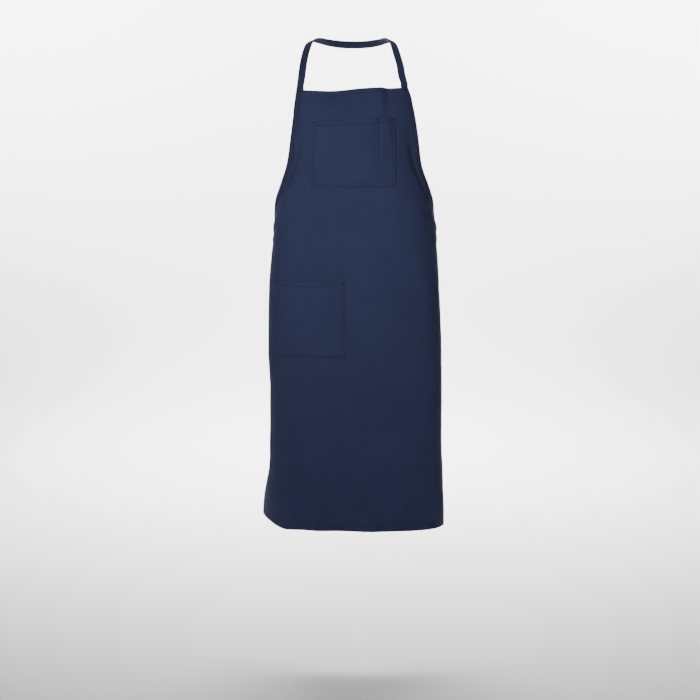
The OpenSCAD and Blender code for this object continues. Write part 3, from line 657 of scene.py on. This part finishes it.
def mouth_hem(name, ranges, top, face, node):
    """The mouth's turned-in hem behind the pocket cloth, with its rounded fold at the top."""
    parts = []
    for a, b in ranges:
        ks = np.linspace(a, b, max(8, int((b - a) / 3)))
        prof = [(0.0, 0.02), (-0.5, -0.25), (-0.6, -0.7), (-0.3, -1.1), (0.6, -1.35), (5, -1.4), (9.6, -1.32), (10, -1.05), (10, -0.72), (0.6, -0.70)]
        d = np.array([p[0] for p in prof])
        n = np.array([p[1] for p in prof])
        K, D = np.meshgrid(ks, d, indexing="ij")
        T = top + D
        F = face(K, np.full_like(K, top + 3.0)) + n[None, :]
        p, _ = surf(K, T, F)
        o = tube_mesh(name, p, np.stack([K, T], -1))
        parts.append(fix_out(o))
    if len(parts) > 1:
        with bpy.context.temp_override(active_object=parts[0], selected_editable_objects=parts, selected_objects=parts):
            bpy.ops.object.join()
    return dress(parts[0], m_pocket, "apron_panel", "pocket_cloth", node)


mouth_hem("chest_pocket_mouth_fold", [(-CH_IN + 0.6, SLOT_A), (SLOT_A + 0.2, CH_IN - 0.6)], CH_TOP, chest_top_face, "chest_pocket_mouth_hem")
mouth_hem("hip_pocket_mouth_fold", [(-HP_OUT + 0.6, -HP_IN - 0.6)], HP_TOP, hip_top_face, "hip_pocket_mouth_hem")


# ------------------------------------------------------------------ thread, stitch by stitch
def stitches(name, rows_, radius=0.33, pitch=3.1, length=2.6):
    """One mesh of separate stitches. Each row is (centres, normals) sampled finely along the seam in millimetres; every stitch humps out of the cloth and dips in at its ends."""
    V, F = [], []
    K = 6
    prof = np.array([-0.26, 0.10, 0.20, 0.10, -0.26])
    wide = np.array([0.55, 0.95, 1.0, 0.95, 0.55])
    base_i = 0
    for P, N in rows_:
        seg_ = np.linalg.norm(np.diff(P, axis=0), axis=1)
        d = np.concatenate([[0], np.cumsum(seg_)])
        count = max(1, int((d[-1] - 0.4) / pitch))
        start = (d[-1] - count * pitch) / 2 + (pitch - length) / 2 + np.arange(count) * pitch
        pos = start[:, None] + np.linspace(0, length, 5)[None, :]
        C = np.stack([np.interp(pos, d, P[:, k]) for k in range(3)], -1)
        n = np.stack([np.interp(pos, d, N[:, k]) for k in range(3)], -1)
        n /= np.linalg.norm(n, axis=-1, keepdims=True)
        tan = np.gradient(C, axis=1)
        tan /= np.linalg.norm(tan, axis=-1, keepdims=True) + 1e-12
        side = np.cross(tan, n)
        side /= np.linalg.norm(side, axis=-1, keepdims=True) + 1e-12
        C = C + n * prof[None, :, None]
        a = np.arange(K) * 2 * np.pi / K + np.pi / K
        ring = (C[:, :, None, :] + radius * wide[None, :, None, None] * (np.cos(a)[None, None, :, None] * side[:, :, None, :] + np.sin(a)[None, None, :, None] * n[:, :, None, :]))
        V.append(ring.reshape(-1, 3))
        q = np.arange(5 * K).reshape(5, K)
        f = np.stack([q[:-1], np.roll(q[:-1], -1, 1), np.roll(q[1:], -1, 1), q[1:]], -1).reshape(-1, 4)
        for i in range(count):
            b = base_i + i * 5 * K
            F += (f + b).tolist()
            F.append((q[0, ::-1] + b).tolist())
            F.append((q[-1] + b).tolist())
        base_i += count * 5 * K
    o = make(name, np.concatenate(V), F)
    return fix_out(o)


def on_cloth(path, height, back=False, step=0.7):
    """Fine samples along a pattern polyline: centres at the given height (number or function of s, t) and the facing normal."""
    path = np.asarray(path, float)
    d = np.concatenate([[0], np.cumsum(np.hypot(*np.diff(path, axis=0).T))])
    x = np.arange(0, d[-1], step)
    s, t = np.interp(x, d, path[:, 0]), np.interp(x, d, path[:, 1])
    h = height(s, t) if callable(height) else height + np.zeros_like(s)
    p, n = surf(s, t, -h if back else h)
    return p, (-n if back else n)


def u_path(s0, s1, t0, t1, i):
    return [(s0 + i, t0 + 1.0), (s0 + i, t1 - i), (s1 - i, t1 - i), (s1 - i, t0 + 1.0)]


BACK = h0 + 0.02
rows_chest = [on_cloth(u_path(-CH_IN, CH_IN, CH_TOP, CH_BOT, i), chest_top_face) for i in (2.0, 8.5)]
rows_chest += [on_cloth(u_path(-CH_IN, CH_IN, CH_TOP, CH_BOT, i), BACK, True) for i in (2.0, 8.5)]
rows_chest += [on_cloth([(-CH_IN + 1.5, CH_TOP + 10), (SLOT_A - 1, CH_TOP + 10)], chest_top_face), on_cloth([(SLOT_B + 1, CH_TOP + 10), (CH_IN - 1.5, CH_TOP + 10)], chest_top_face)]
dress(stitches("chest_pocket_stitches", rows_chest), m_thread, "apron_panel", "sewing_thread", "chest_pocket_stitching")
rows_slot = [on_cloth(slot_line(k), chest_top_face) for k in (0, 6.5)] + [on_cloth(slot_line(k), BACK, True) for k in (0, 6.5)]
dress(stitches("pencil_slot_stitches", rows_slot), m_thread, "apron_panel", "sewing_thread", "pencil_slot_stitching")
rows_hip = [on_cloth(u_path(-HP_OUT, -HP_IN, HP_TOP, HP_BOT, i), hip_top_face) for i in (2.0, 8.5)]
rows_hip += [on_cloth(u_path(-HP_OUT, -HP_IN, HP_TOP, HP_BOT, i), BACK, True) for i in (2.0, 8.5)]
rows_hip += [on_cloth([(-HP_OUT + 1.5, HP_TOP + 10), (-HP_IN - 1.5, HP_TOP + 10)], hip_top_face)]
dress(stitches("hip_pocket_stitches", rows_hip), m_thread, "apron_panel", "sewing_thread", "hip_pocket_stitching")


def hem_h(s, t):
    return h0 - 0.2 + 0 * s


hem_back = h0 + 1.05
rows_hem = []
wtop = float(half_w(BIB_HEM)) - 16
rows_hem.append(on_cloth([(-wtop, BIB_HEM), (wtop, BIB_HEM)], hem_h))
rows_hem.append(on_cloth([(-wtop, BIB_HEM - 0.4), (wtop, BIB_HEM - 0.4)], hem_back, True))
for sg in (-1, 1):
    rows_hem.append(on_cloth([(sg * (HALF - 13), WAIST + 14), (sg * (HALF - 13), LENGTH - 1)], hem_h))
    rows_hem.append(on_cloth([(sg * (HALF - 12.6), WAIST + 14), (sg * (HALF - 12.6), LENGTH - 1)], hem_back, True))
rows_hem.append(on_cloth([(-HALF + 1, LENGTH - 13), (HALF - 1, LENGTH - 13)], hem_h))
rows_hem.append(on_cloth([(-HALF + 1, LENGTH - 12.6), (HALF - 1, LENGTH - 12.6)], hem_back, True))
dress(stitches("hem_stitches", rows_hem), m_thread, "apron_panel", "sewing_thread", "hem_stitching")
for side, tag in ((1, "left"), (-1, "right")):
    kk = np.arange(3.0, WAIST - 4, 1.0)
    fs, ft = arm_s(side), arm_t
    f13 = np.stack([fs(kk, 13.0 + 0 * kk), ft(kk, 13.0 + 0 * kk)], 1)
    rows_b = [on_cloth(f13, h0 + 0.66), on_cloth(f13, h0 + 0.66, True)]
    dress(stitches(f"binding_stitches_{tag}", rows_b), m_thread, "apron_panel", "sewing_thread", f"binding_stitching_{tag}")


def tack(s, t, length, height, across=True, n=15):
    """A bartack: close zigzag of thread laid across a seam end."""
    out = []
    for i in range(n):
        u = (i / (n - 1) - 0.5) * length
        w = 1.05 if i % 2 else -1.05
        if across:
            path = [(s + u - 0.2, t - 1.05), (s + u + 0.2, t + 1.05)]
        else:
            path = [(s - 1.05, t + u - 0.2), (s + 1.05, t + u + 0.2)]
        out.append(on_cloth(path, (lambda a, b: height(a, b) + 0.12) if callable(height) else height + 0.12, step=0.3))
    core = [(s - length / 2, t), (s + length / 2, t)] if across else [(s, t - length / 2), (s, t + length / 2)]
    out.append(on_cloth(core, (lambda a, b: height(a, b) - 0.05) if callable(height) else height - 0.05, step=0.3))
    return out


def thick_threads(name, rows_, radius=0.42):
    """Continuous short threads, one tube per row."""
    V, F, b = [], [], 0
    K = 6
    for P, N in rows_:
        tan = np.gradient(P, axis=0)
        tan /= np.linalg.norm(tan, axis=-1, keepdims=True) + 1e-12
        side = np.cross(tan, N)
        side /= np.linalg.norm(side, axis=-1, keepdims=True) + 1e-12
        a = np.arange(K) * 2 * np.pi / K
        ring = P[:, None, :] + radius * (np.cos(a)[None, :, None] * side[:, None, :] + np.sin(a)[None, :, None] * N[:, None, :])
        m = len(P)
        q = np.arange(m * K).reshape(m, K) + b
        F += np.stack([q[:-1], np.roll(q[:-1], -1, 1), np.roll(q[1:], -1, 1), q[1:]], -1).reshape(-1, 4).tolist()
        F += [q[0, ::-1].tolist(), q[-1].tolist()]
        V.append(ring.reshape(-1, 3))
        b += m * K
    return fix_out(make(name, np.concatenate(V), F))


rows_tack = tack(-CH_IN + 5, CH_TOP + 2, 9, chest_top_face) + tack(CH_IN - 5, CH_TOP + 2, 9, chest_top_face) + tack((SLOT_A + SLOT_B) / 2, CH_TOP + 2, 8, chest_top_face)
rows_tack += tack(-HP_OUT + 5, HP_TOP + 2, 9, hip_top_face) + tack(-HP_IN - 5, HP_TOP + 2, 9, hip_top_face)
dress(thick_threads("pocket_bartack_threads", rows_tack), m_thread, "apron_panel", "sewing_thread", "pocket_bartacks")
rows_tack = []
for sg in (-1, 1):
    rows_tack += tack(sg * 130.5, 4.5, 11, h0 + 1.2, n=19)
dress(thick_threads("strap_bartack_threads", rows_tack), m_thread, "apron_panel", "sewing_thread", "strap_bartacks")


# ------------------------------------------------------------------ neck loop
def catmull(P, n):
    P = np.asarray(P, float)
    out = []
    for i in range(len(P) - 1):
        a, b, c, d = P[max(0, i - 1)], P[i], P[i + 1], P[min(len(P) - 1, i + 2)]
        for k in range(n + (i == len(P) - 2)):
            u = k / n
            out.append(0.5 * (2 * b + (c - a) * u + (2 * a - 5 * b + 4 * c - d) * u * u + (3 * b - a - 3 * c + d) * u**3))
    return np.array(out)


def frames(P, N):
    """Tangent, facing and sideways at every point of a path."""
    T = np.gradient(P, axis=0)
    T /= np.linalg.norm(T, axis=-1, keepdims=True)
    N = N - (N * T).sum(-1, keepdims=True) * T
    N /= np.linalg.norm(N, axis=-1, keepdims=True)
    return T, N, np.cross(T, N)


# Cross-section of the folded tape, seen along it: (sideways share of half the width, height). The +1 side is the seam edge, the -1 side the fold.
TAPE = [(-0.985, 0.0), (-0.99, 0.45), (-0.95, 0.85), (-0.86, 1.02), (-0.6, 1.06), (-0.2, 1.02), (0.2, 1.02), (0.5, 1.05), (0.64, 0.95), (0.735, 0.66), (0.83, 0.95), (0.93, 0.92), (0.985, 0.62), (1.0, 0.1),
        (1.0, -0.12), (0.985, -0.62), (0.93, -0.92), (0.83, -0.95), (0.735, -0.66), (0.64, -0.95), (0.5, -1.05), (0.2, -1.02), (-0.2, -1.02), (-0.6, -1.06), (-0.86, -1.02), (-0.95, -0.85), (-0.99, -0.45)]


def tape_mesh(name, P, N, half, thick, seam=None, wob=0.0, seed=1, section=TAPE, cross_curl=None):
    """Tape along a path. half and thick are the half-width and half-thickness, numbers or one per point. seam flips the seam edge."""
    T, N, B = frames(P, N)
    m = len(P)
    half = np.broadcast_to(np.asarray(half, float), (m,))
    thick = np.broadcast_to(np.asarray(thick, float), (m,))
    sx = np.array([p[0] for p in section]) * (1 if seam in (None, 1) else -1)
    sy = np.array([p[1] for p in section])
    d = np.concatenate([[0], np.cumsum(np.linalg.norm(np.diff(P, axis=0), axis=1))])
    w = wob * vnoise(d[:, None] / 9, sx[None, :] * 1.5 + 5, seed)
    curl = np.zeros((m, 1)) if cross_curl is None else np.asarray(cross_curl, float).reshape(-1, 1)
    off = sy[None, :] * thick[:, None] + w + curl * (sx[None, :] ** 2)
    ring = P[:, None, :] + B[:, None, :] * (sx[None, :] * half[:, None])[..., None] + N[:, None, :] * off[..., None]
    uv = np.stack([np.broadcast_to(sx[None, :] * half[:, None], ring.shape[:2]), np.broadcast_to(d[:, None], ring.shape[:2])], -1)
    return fix_out(tube_mesh(name, ring, uv)), (P, T, N, B, d)


strap_s = 130.5
foot_rows = [6.0, 3.0, 0.5, -2.5, -6.0, -10.0]


def foot(side):
    pts, nrm = [], []
    for t in foot_rows:
        sc = side * (float(half_w(max(t, -2))) - 9.4 if t > -2.4 else 128.4)
        p, n = surf(np.array([sc]), np.array([t]), 0.0)
        pts.append(p[0])
        nrm.append(n[0])
    return pts, nrm


def strap_half(side):
    pts, nrm = foot(side)
    up, un = surf(np.array([side * strap_s]), np.array([-30.0]), 0.0)
    n0 = nrm[-1]
    pull = [17.3, 19.7, 18.5, 14.5, 7.5, 2, 0, 0] if side > 0 else [6, 6, 5, 2.5, 0, 0, 0, 0]
    lean_in = np.array([-7.6, 0, 0]) if side > 0 else np.array([5.0, 0, 0])
    P = pts + [up[0] + lean_in] + [np.array([side * (x - k), y, z]) for k, (x, y, z) in zip(pull, [(126, -80, -52), (121, -60, -25), (113, -30, -2), (102, 4, 9), (86, 34, 10), (62, 60, 5), (32, 75, 1), (0, 79, 0)])]
    M = nrm + [n0 * [0.3, 1, 1] + np.array([0, 0, 0.15])] + [np.array([side * x, y, z]) for x, y, z in [(0.10, -0.75, 0.6), (0.12, -0.5, 0.82), (0.2, -0.2, 0.95), (0.35, 0.15, 0.9), (0.42, 0.5, 0.72), (0.35, 0.78, 0.5), (0.16, 0.95, 0.28), (0, 0.97, 0.22)]]
    return P, M


PL, ML = strap_half(1)
PR, MR = strap_half(-1)
path = catmull(PR + PL[-2::-1], 8)
face_ = catmull(MR + ML[-2::-1], 8)
m_ = len(path)
d_ = np.concatenate([[0], np.cumsum(np.linalg.norm(np.diff(path, axis=0), axis=1))])
end_d = np.minimum(d_, d_[-1] - d_)
# the foot swells to the binding's own section, then closes to the folded tape
thick_ = 1.02 + 0.45 * (1 - sstep((end_d - 4) / 12))
half_ = 9.0 + 0.1 * (1 - sstep((end_d - 2) / 10))
strap, (sp, st_, sn, sb, sd) = tape_mesh("neck_strap_tape", path, face_, half_, thick_, wob=0.10, seed=51)
dress(strap, m_tape, None, "twill_tape", "neck_strap")
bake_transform(strap)
rows_s = [(sp + sb * (0.735 * half_)[:, None] + sn * (thick_ * 0.68)[:, None], sn), (sp + sb * (0.735 * half_)[:, None] - sn * (thick_ * 0.68)[:, None], -sn)]
seam_o = stitches("neck_strap_stitches", rows_s)
dress(seam_o, m_thread, None, "sewing_thread", "neck_strap_stitching")
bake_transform(seam_o)

# ------------------------------------------------------------------ waist ties, bow and ends
c0_, _ = surf(np.array([HALF]), np.array([WAIST]), 0.0)
wz = -445.8
tie_dirs = [(0.72, 0.69, 0), (0.71, 0.70, 0), (0.66, 0.75, 0), (0.58, 0.81, 0), (0.48, 0.88, 0), (0.36, 0.93, 0), (0.22, 0.98, 0), (0.1, 1, 0), (0.02, 1, 0)]
corner_l = np.array([170.15, 10.04, wz])
tie_out = np.array([-0.6947, 0.7193, 0.0])
for side, tag in ((1, "left"), (-1, "right")):
    inner_pts, inner_n = [], []
    for sv in (284.0, 291.0, 298.0, 303.5):
        p, n = surf(np.array([side * sv]), np.array([WAIST + 7.5]), -(h0 + 2.35))
        inner_pts.append(p[0])
        inner_n.append(n[0])
    tail_pts = [(150, 39, wz), (134, 52, wz + 1), (114, 64, wz + 2), (90, 75, wz + 3), (64, 83, wz + 4), (38, 87.5, wz + 5), (13, 89, wz + 5), (4, 90.5, wz + 5)]
    first = corner_l + tie_out * 9 + np.array([0, 0, -3.5])
    P = inner_pts + [first * [side, 1, 1]] + [np.array(q) * [side, 1, 1] for q in tail_pts]
    M = inner_n + [np.array(q) * [side, 1, 1] for q in tie_dirs[1:]] + [np.array([0.0, 1, 0])]
    P, M = catmull(P, 7), catmull(M, 7)
    d = np.concatenate([[0], np.cumsum(np.linalg.norm(np.diff(P, axis=0), axis=1))])
    left_ = d[-1] - d
    half = 7.4 - 3.2 * (1 - sstep(left_ / 26))
    thick = 1.0 + 0.9 * (1 - sstep(left_ / 22))
    curl = -1.6 * (1 - sstep(left_ / 40)) + 0.5 * np.sin(d / 23.0)
    tie, (tp, tt_, tn, tb, td) = tape_mesh(f"waist_tie_{tag}_tape", P, M, half, thick, wob=0.16, seed=60 + side, cross_curl=curl)
    seam_rows = [(tp + tb * (0.735 * half)[:, None] + tn * (thick * 0.68 + curl * 0.54)[:, None], tn), (tp + tb * (0.735 * half)[:, None] - tn * (thick * 0.68 - curl * 0.54)[:, None], -tn)]
    seam_rows = [(a[: int(len(a) * 0.93)], b[: int(len(b) * 0.93)]) for a, b in seam_rows]
    th = stitches(f"waist_tie_{tag}_stitches", seam_rows)
    # two bartacks and a box hold the tie on the inside of the corner
    box_rows = []
    for sv in (287.0, 301.5):
        for i in range(9):
            z = WAIST + 2.0 + i * 1.4
            box_rows.append(on_cloth([(side * (sv - 1.0), z), (side * (sv + 1.0), z + 0.3)], h0 + 3.42, True, step=0.3))
    for tv in (WAIST + 2.2, WAIST + 13.0):
        box_rows.append(on_cloth([(side * 287, tv), (side * 301.5, tv)], h0 + 3.36, True, step=0.8))
    boxo = thick_threads(f"waist_tie_{tag}_tacks", box_rows, 0.28)
    dress(tie, m_tape, None, "twill_tape", f"waist_tie_{tag}")
    dress(th, m_thread, None, "sewing_thread")
    dress(boxo, m_thread, "apron_panel", "sewing_thread")
    for o in (tie, th):
        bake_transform(o)

KC = np.array([0.0, 91.0, wz + 5])


def ring_tape(name, centre, ry, rz, half, thick, tilt, squeeze):
    """Closed band of tape round the knot."""
    a = np.linspace(0, 2 * np.pi, 61)[:-1]
    cy, sy_ = np.cos(a), np.sin(a)
    e = 0.75
    Y = ry * np.sign(cy) * np.abs(cy) ** e
    Z = rz * np.sign(sy_) * np.abs(sy_) ** e
    P = np.stack([tilt * Z, Y, Z], 1) + centre
    T = np.roll(P, -1, 0) - np.roll(P, 1, 0)
    T /= np.linalg.norm(T, axis=1, keepdims=True)
    B = np.array([1.0, 0, 0]) + 0 * P
    B = B - (B * T).sum(1, keepdims=True) * T
    B /= np.linalg.norm(B, axis=1, keepdims=True)
    N = np.cross(T, B)
    if (N * (P - centre)).sum() < 0:
        N = -N
    sx = np.array([p[0] for p in TAPE])
    sy2 = np.array([p[1] for p in TAPE])
    wd = half * (1 - squeeze * np.abs(sy_))
    off = sy2[None, :] * thick - 1.3 * sx[None, :] ** 2 + 0.5 * vnoise(a[:, None] * 3, sx[None, :] * 2 + 9, 71)
    ring = P[:, None, :] + B[:, None, :] * (sx[None, :] * wd[:, None])[..., None] + N[:, None, :] * off[..., None]
    uv = np.stack([np.broadcast_to(sx[None, :] * half, ring.shape[:2]), np.broadcast_to(a[:, None] * 10, ring.shape[:2])], -1)
    return fix_out(tube_mesh(name, ring, uv, closed=True))


knot_band = ring_tape("waist_knot_band", KC + [0, 3.2, -0.5], 5.6, 9.0, 6.4, 1.1, 0.22, 0.18)
# the gathered crossing inside the band
xs = np.linspace(-13.5, 13.5, 31)
a = np.linspace(0, 2 * np.pi, 33)[:-1]
rings = []
for x in xs:
    k = abs(x) / 13.5
    ry, rz = 3.9 + 0.6 * k, 6.3 - 0.6 * k + 1.2 * k * k
    r = 1 + 0.10 * np.cos(5 * a + x * 0.25) + 0.05 * np.cos(9 * a - x * 0.4)
    rings.append(np.stack([x + 0 * a, KC[1] + 2.6 + ry * r * np.cos(a), KC[2] - 0.5 + rz * r * np.sin(a) + 0.06 * x], 1))
core_uv = np.stack([np.broadcast_to(xs[:, None], (31, 32)), np.broadcast_to(a[None, :] * 6, (31, 32))], -1)
knot_core = fix_out(tube_mesh("waist_knot_gathers", np.array(rings), core_uv))
dress(knot_core, m_tape, "waist_ties", "twill_tape")
dress(knot_band, m_tape, "waist_ties", "twill_tape", "waist_knot")

loop_out = [(7, 97.2, 0), (12.5, 98, 0), (30, 103, -2), (52, 106, -7), (72, 106, -14), (86, 103.5, -20), (91, 99, -23), (86, 95, -22), (70, 93.4, -16), (50, 93, -9), (30, 92.7, -4), (12.5, 92.5, -1), (7, 92.4, -0.5)]
loop_face = [(-0.1, 1, 0), (-0.1, 1, 0), (-0.15, 1, 0), (-0.05, 1, 0), (0.1, 1, 0), (0.6, 0.8, 0), (1, 0.02, 0), (0.6, -0.8, 0), (0.02, -1, 0), (0, -1, 0), (0, -1, 0), (0, -1, 0), (0, -1, 0)]
for side, tag in ((1, "left"), (-1, "right")):
    P = catmull([np.array(q) * [side, 1, 1] + [0, 0, wz + 5] for q in loop_out], 8)
    M = catmull([np.array(q, float) * [side, 1, 1] for q in loop_face], 8)
    d = np.concatenate([[0], np.cumsum(np.linalg.norm(np.diff(P, axis=0), axis=1))])
    e = np.minimum(d, d[-1] - d)
    half = 7.0 - 2.6 * (1 - sstep(e / 28))
    thick = 0.92 + 0.5 * (1 - sstep(e / 22))
    curl = -1.7 * (1 - sstep(e / 45)) + 0.35 * np.sin(d / 15.0)
    o, (lp, lt, ln, lb, ld) = tape_mesh(f"bow_loop_{tag}_tape", P, M, half, thick, wob=0.18, seed=80 + side, cross_curl=curl)
    dress(o, m_tape, "waist_ties", "twill_tape", f"bow_loop_{tag}")
    rows_l = [(lp + lb * (0.735 * half)[:, None] + ln * (thick * 0.68 + curl * 0.54)[:, None], ln), (lp + lb * (0.735 * half)[:, None] - ln * (thick * 0.68 - curl * 0.54)[:, None], -ln)]
    rows_l = [(a_[10:-10], b_[10:-10]) for a_, b_ in rows_l]
    dress(stitches(f"bow_loop_{tag}_stitches", rows_l), m_thread, "waist_ties", "sewing_thread")

    k = 1.0 if side > 0 else 0.93
    top = KC + [0, 4, -13]
    ctrl = [np.array(top + [side * x, y, z]) for x, y, z in [(4.5, 0, 2.5), (5.5, 0, 0), (11, 2, -22 * k), (19, 3, -60 * k), (25, 3, -110 * k), (28, 2, -170 * k), (29, 1, -235 * k)]]
    P = catmull(ctrl, 12)
    d = np.concatenate([[0], np.cumsum(np.linalg.norm(np.diff(P, axis=0), axis=1))])
    M = np.stack([0.10 * np.sin(d / 38 + side) * side, np.ones_like(d), 0.04 + 0.05 * np.sin(d / 50)], 1)
    P = P + np.stack([0 * d, 0.8 * np.sin(d / 33 + 1.3 * side) * sstep(d / 40), 0 * d], 1)
    half = 4.6 + 2.7 * sstep(d / 34)
    thick = 0.92 + 0.35 * (1 - sstep(d / 30))
    curl = -1.2 * (1 - sstep(d / 60)) + 0.4 * np.sin(d / 21.0)
    o, (lp, lt, ln, lb, ld) = tape_mesh(f"tie_end_{tag}_tape", P, M, half, thick, wob=0.14, seed=90 + side, cross_curl=curl)
    body = "tie_end_l" if side > 0 else "tie_end_r"
    # the tip, folded over twice and sewn down
    tip = P[-1]
    fold_n = np.array([0, 1, 0.04])
    Pt = np.array([tip + [-side * 0.06, 0, 13.5], tip + [-side * 0.05, 0.1, 9], tip + [-side * 0.02, 0.15, 4], tip + [0, 0.1, -0.5], tip + [0, 0.0, -1.6]])
    Pt = catmull(Pt, 4)
    tipo, _ = tape_mesh(f"tie_end_{tag}_tip", Pt + np.array([0, 0.35, 0]), np.array([fold_n] * len(Pt)), 7.5, np.linspace(1.75, 1.62, len(Pt)), wob=0.08, seed=95 + side)
    rows_l = [(lp + lb * (0.735 * half)[:, None] + ln * (thick * 0.68 + curl * 0.54)[:, None], ln), (lp + lb * (0.735 * half)[:, None] - ln * (thick * 0.68 - curl * 0.54)[:, None], -ln)]
    rows_l = [(a_[12:-5], b_[12:-5]) for a_, b_ in rows_l]
    yy = np.linspace(-6.4, 6.4, 22)
    for hz in (10.8, 3.2):
        for sgn_ in (1, -1):
            rows_l.append((np.stack([tip[0] + yy, tip[1] + 0.35 + sgn_ * 1.72 + 0 * yy, tip[2] + hz + 0 * yy], 1), np.array([[0, sgn_, 0]] * 22, float)))
    dress(o, m_tape, body, "twill_tape", f"tie_end_{tag}")
    dress(tipo, m_tape, body, "twill_tape")
    dress(stitches(f"tie_end_{tag}_stitches", rows_l), m_thread, body, "sewing_thread")

# ------------------------------------------------------------------ floor, backdrop and light
def stage_mesh():
    """Plain pale floor that curves up behind into a backdrop."""
    z0, back, rad, top_ = -1.475, 5.0, 2.2, 9.0
    prof = [(-40.0, z0), (back - rad, z0)] + [(back - rad + rad * math.sin(a), z0 + rad - rad * math.cos(a)) for a in np.linspace(0, math.pi / 2, 16)[1:]] + [(back, top_)]
    v, f = [], []
    for y, z in prof:
        v += [(-40, y, z), (40, y, z)]
    for i in range(len(prof) - 1):
        f.append((2 * i, 2 * i + 1, 2 * i + 3, 2 * i + 2))
    me = bpy.data.meshes.new("floor")
    me.from_pydata(v, [], f)
    me.polygons.foreach_set("use_smooth", np.ones(len(f), bool))
    o = bpy.data.objects.new("floor", me)
    bpy.context.scene.collection.objects.link(o)
    m = bpy.data.materials.new("pale_floor")
    m.use_nodes = True
    b = m.node_tree.nodes["Principled BSDF"]
    b.inputs["Base Color"].default_value = (0.93, 0.93, 0.93, 1)
    b.inputs["Roughness"].default_value = 0.9
    b.inputs["Specular IOR Level"].default_value = 0.1
    me.materials.append(m)
    return o


floor = stage_mesh()


def area_light(name, loc, target, size, power, colour=(1, 1, 1), spread=180):
    L = bpy.data.lights.new(name, "AREA")
    L.shape = "RECTANGLE"
    L.size, L.size_y = size, size
    L.spread = math.radians(spread)
    L.energy = power
    L.color = colour
    o = bpy.data.objects.new(name, L)
    o.location = loc
    o.rotation_euler = (Vector(target) - Vector(loc)).to_track_quat("-Z", "Y").to_euler()
    bpy.context.scene.collection.objects.link(o)
    return o


area_light("key", (-0.46, -2.10, 0.16), (0.0, -0.1, -0.38), 0.8, 8.6, (1.0, 0.985, 0.965), spread=66)
area_light("fill", (1.9, -3.6, 0.4), (0, 0, -0.6), 2.0, 0.1)
area_light("back_wall_left", (-2.8, 1.8, 1.6), (-1.4, 6, 0.8), 2.6, 330, spread=90)
area_light("back_wall_right", (2.8, 1.8, 1.6), (1.4, 6, 0.8), 2.6, 330, spread=90)
area_light("floor_light", (0.0, 2.4, 2.4), (0, 2.2, -1.5), 2.2, 170, spread=70)
world = bpy.data.worlds.new("studio")
bpy.context.scene.world = world
world.use_nodes = True
world.node_tree.nodes["Background"].inputs[0].default_value = (1, 1, 1, 1)
world.node_tree.nodes["Background"].inputs[1].default_value = 0.02
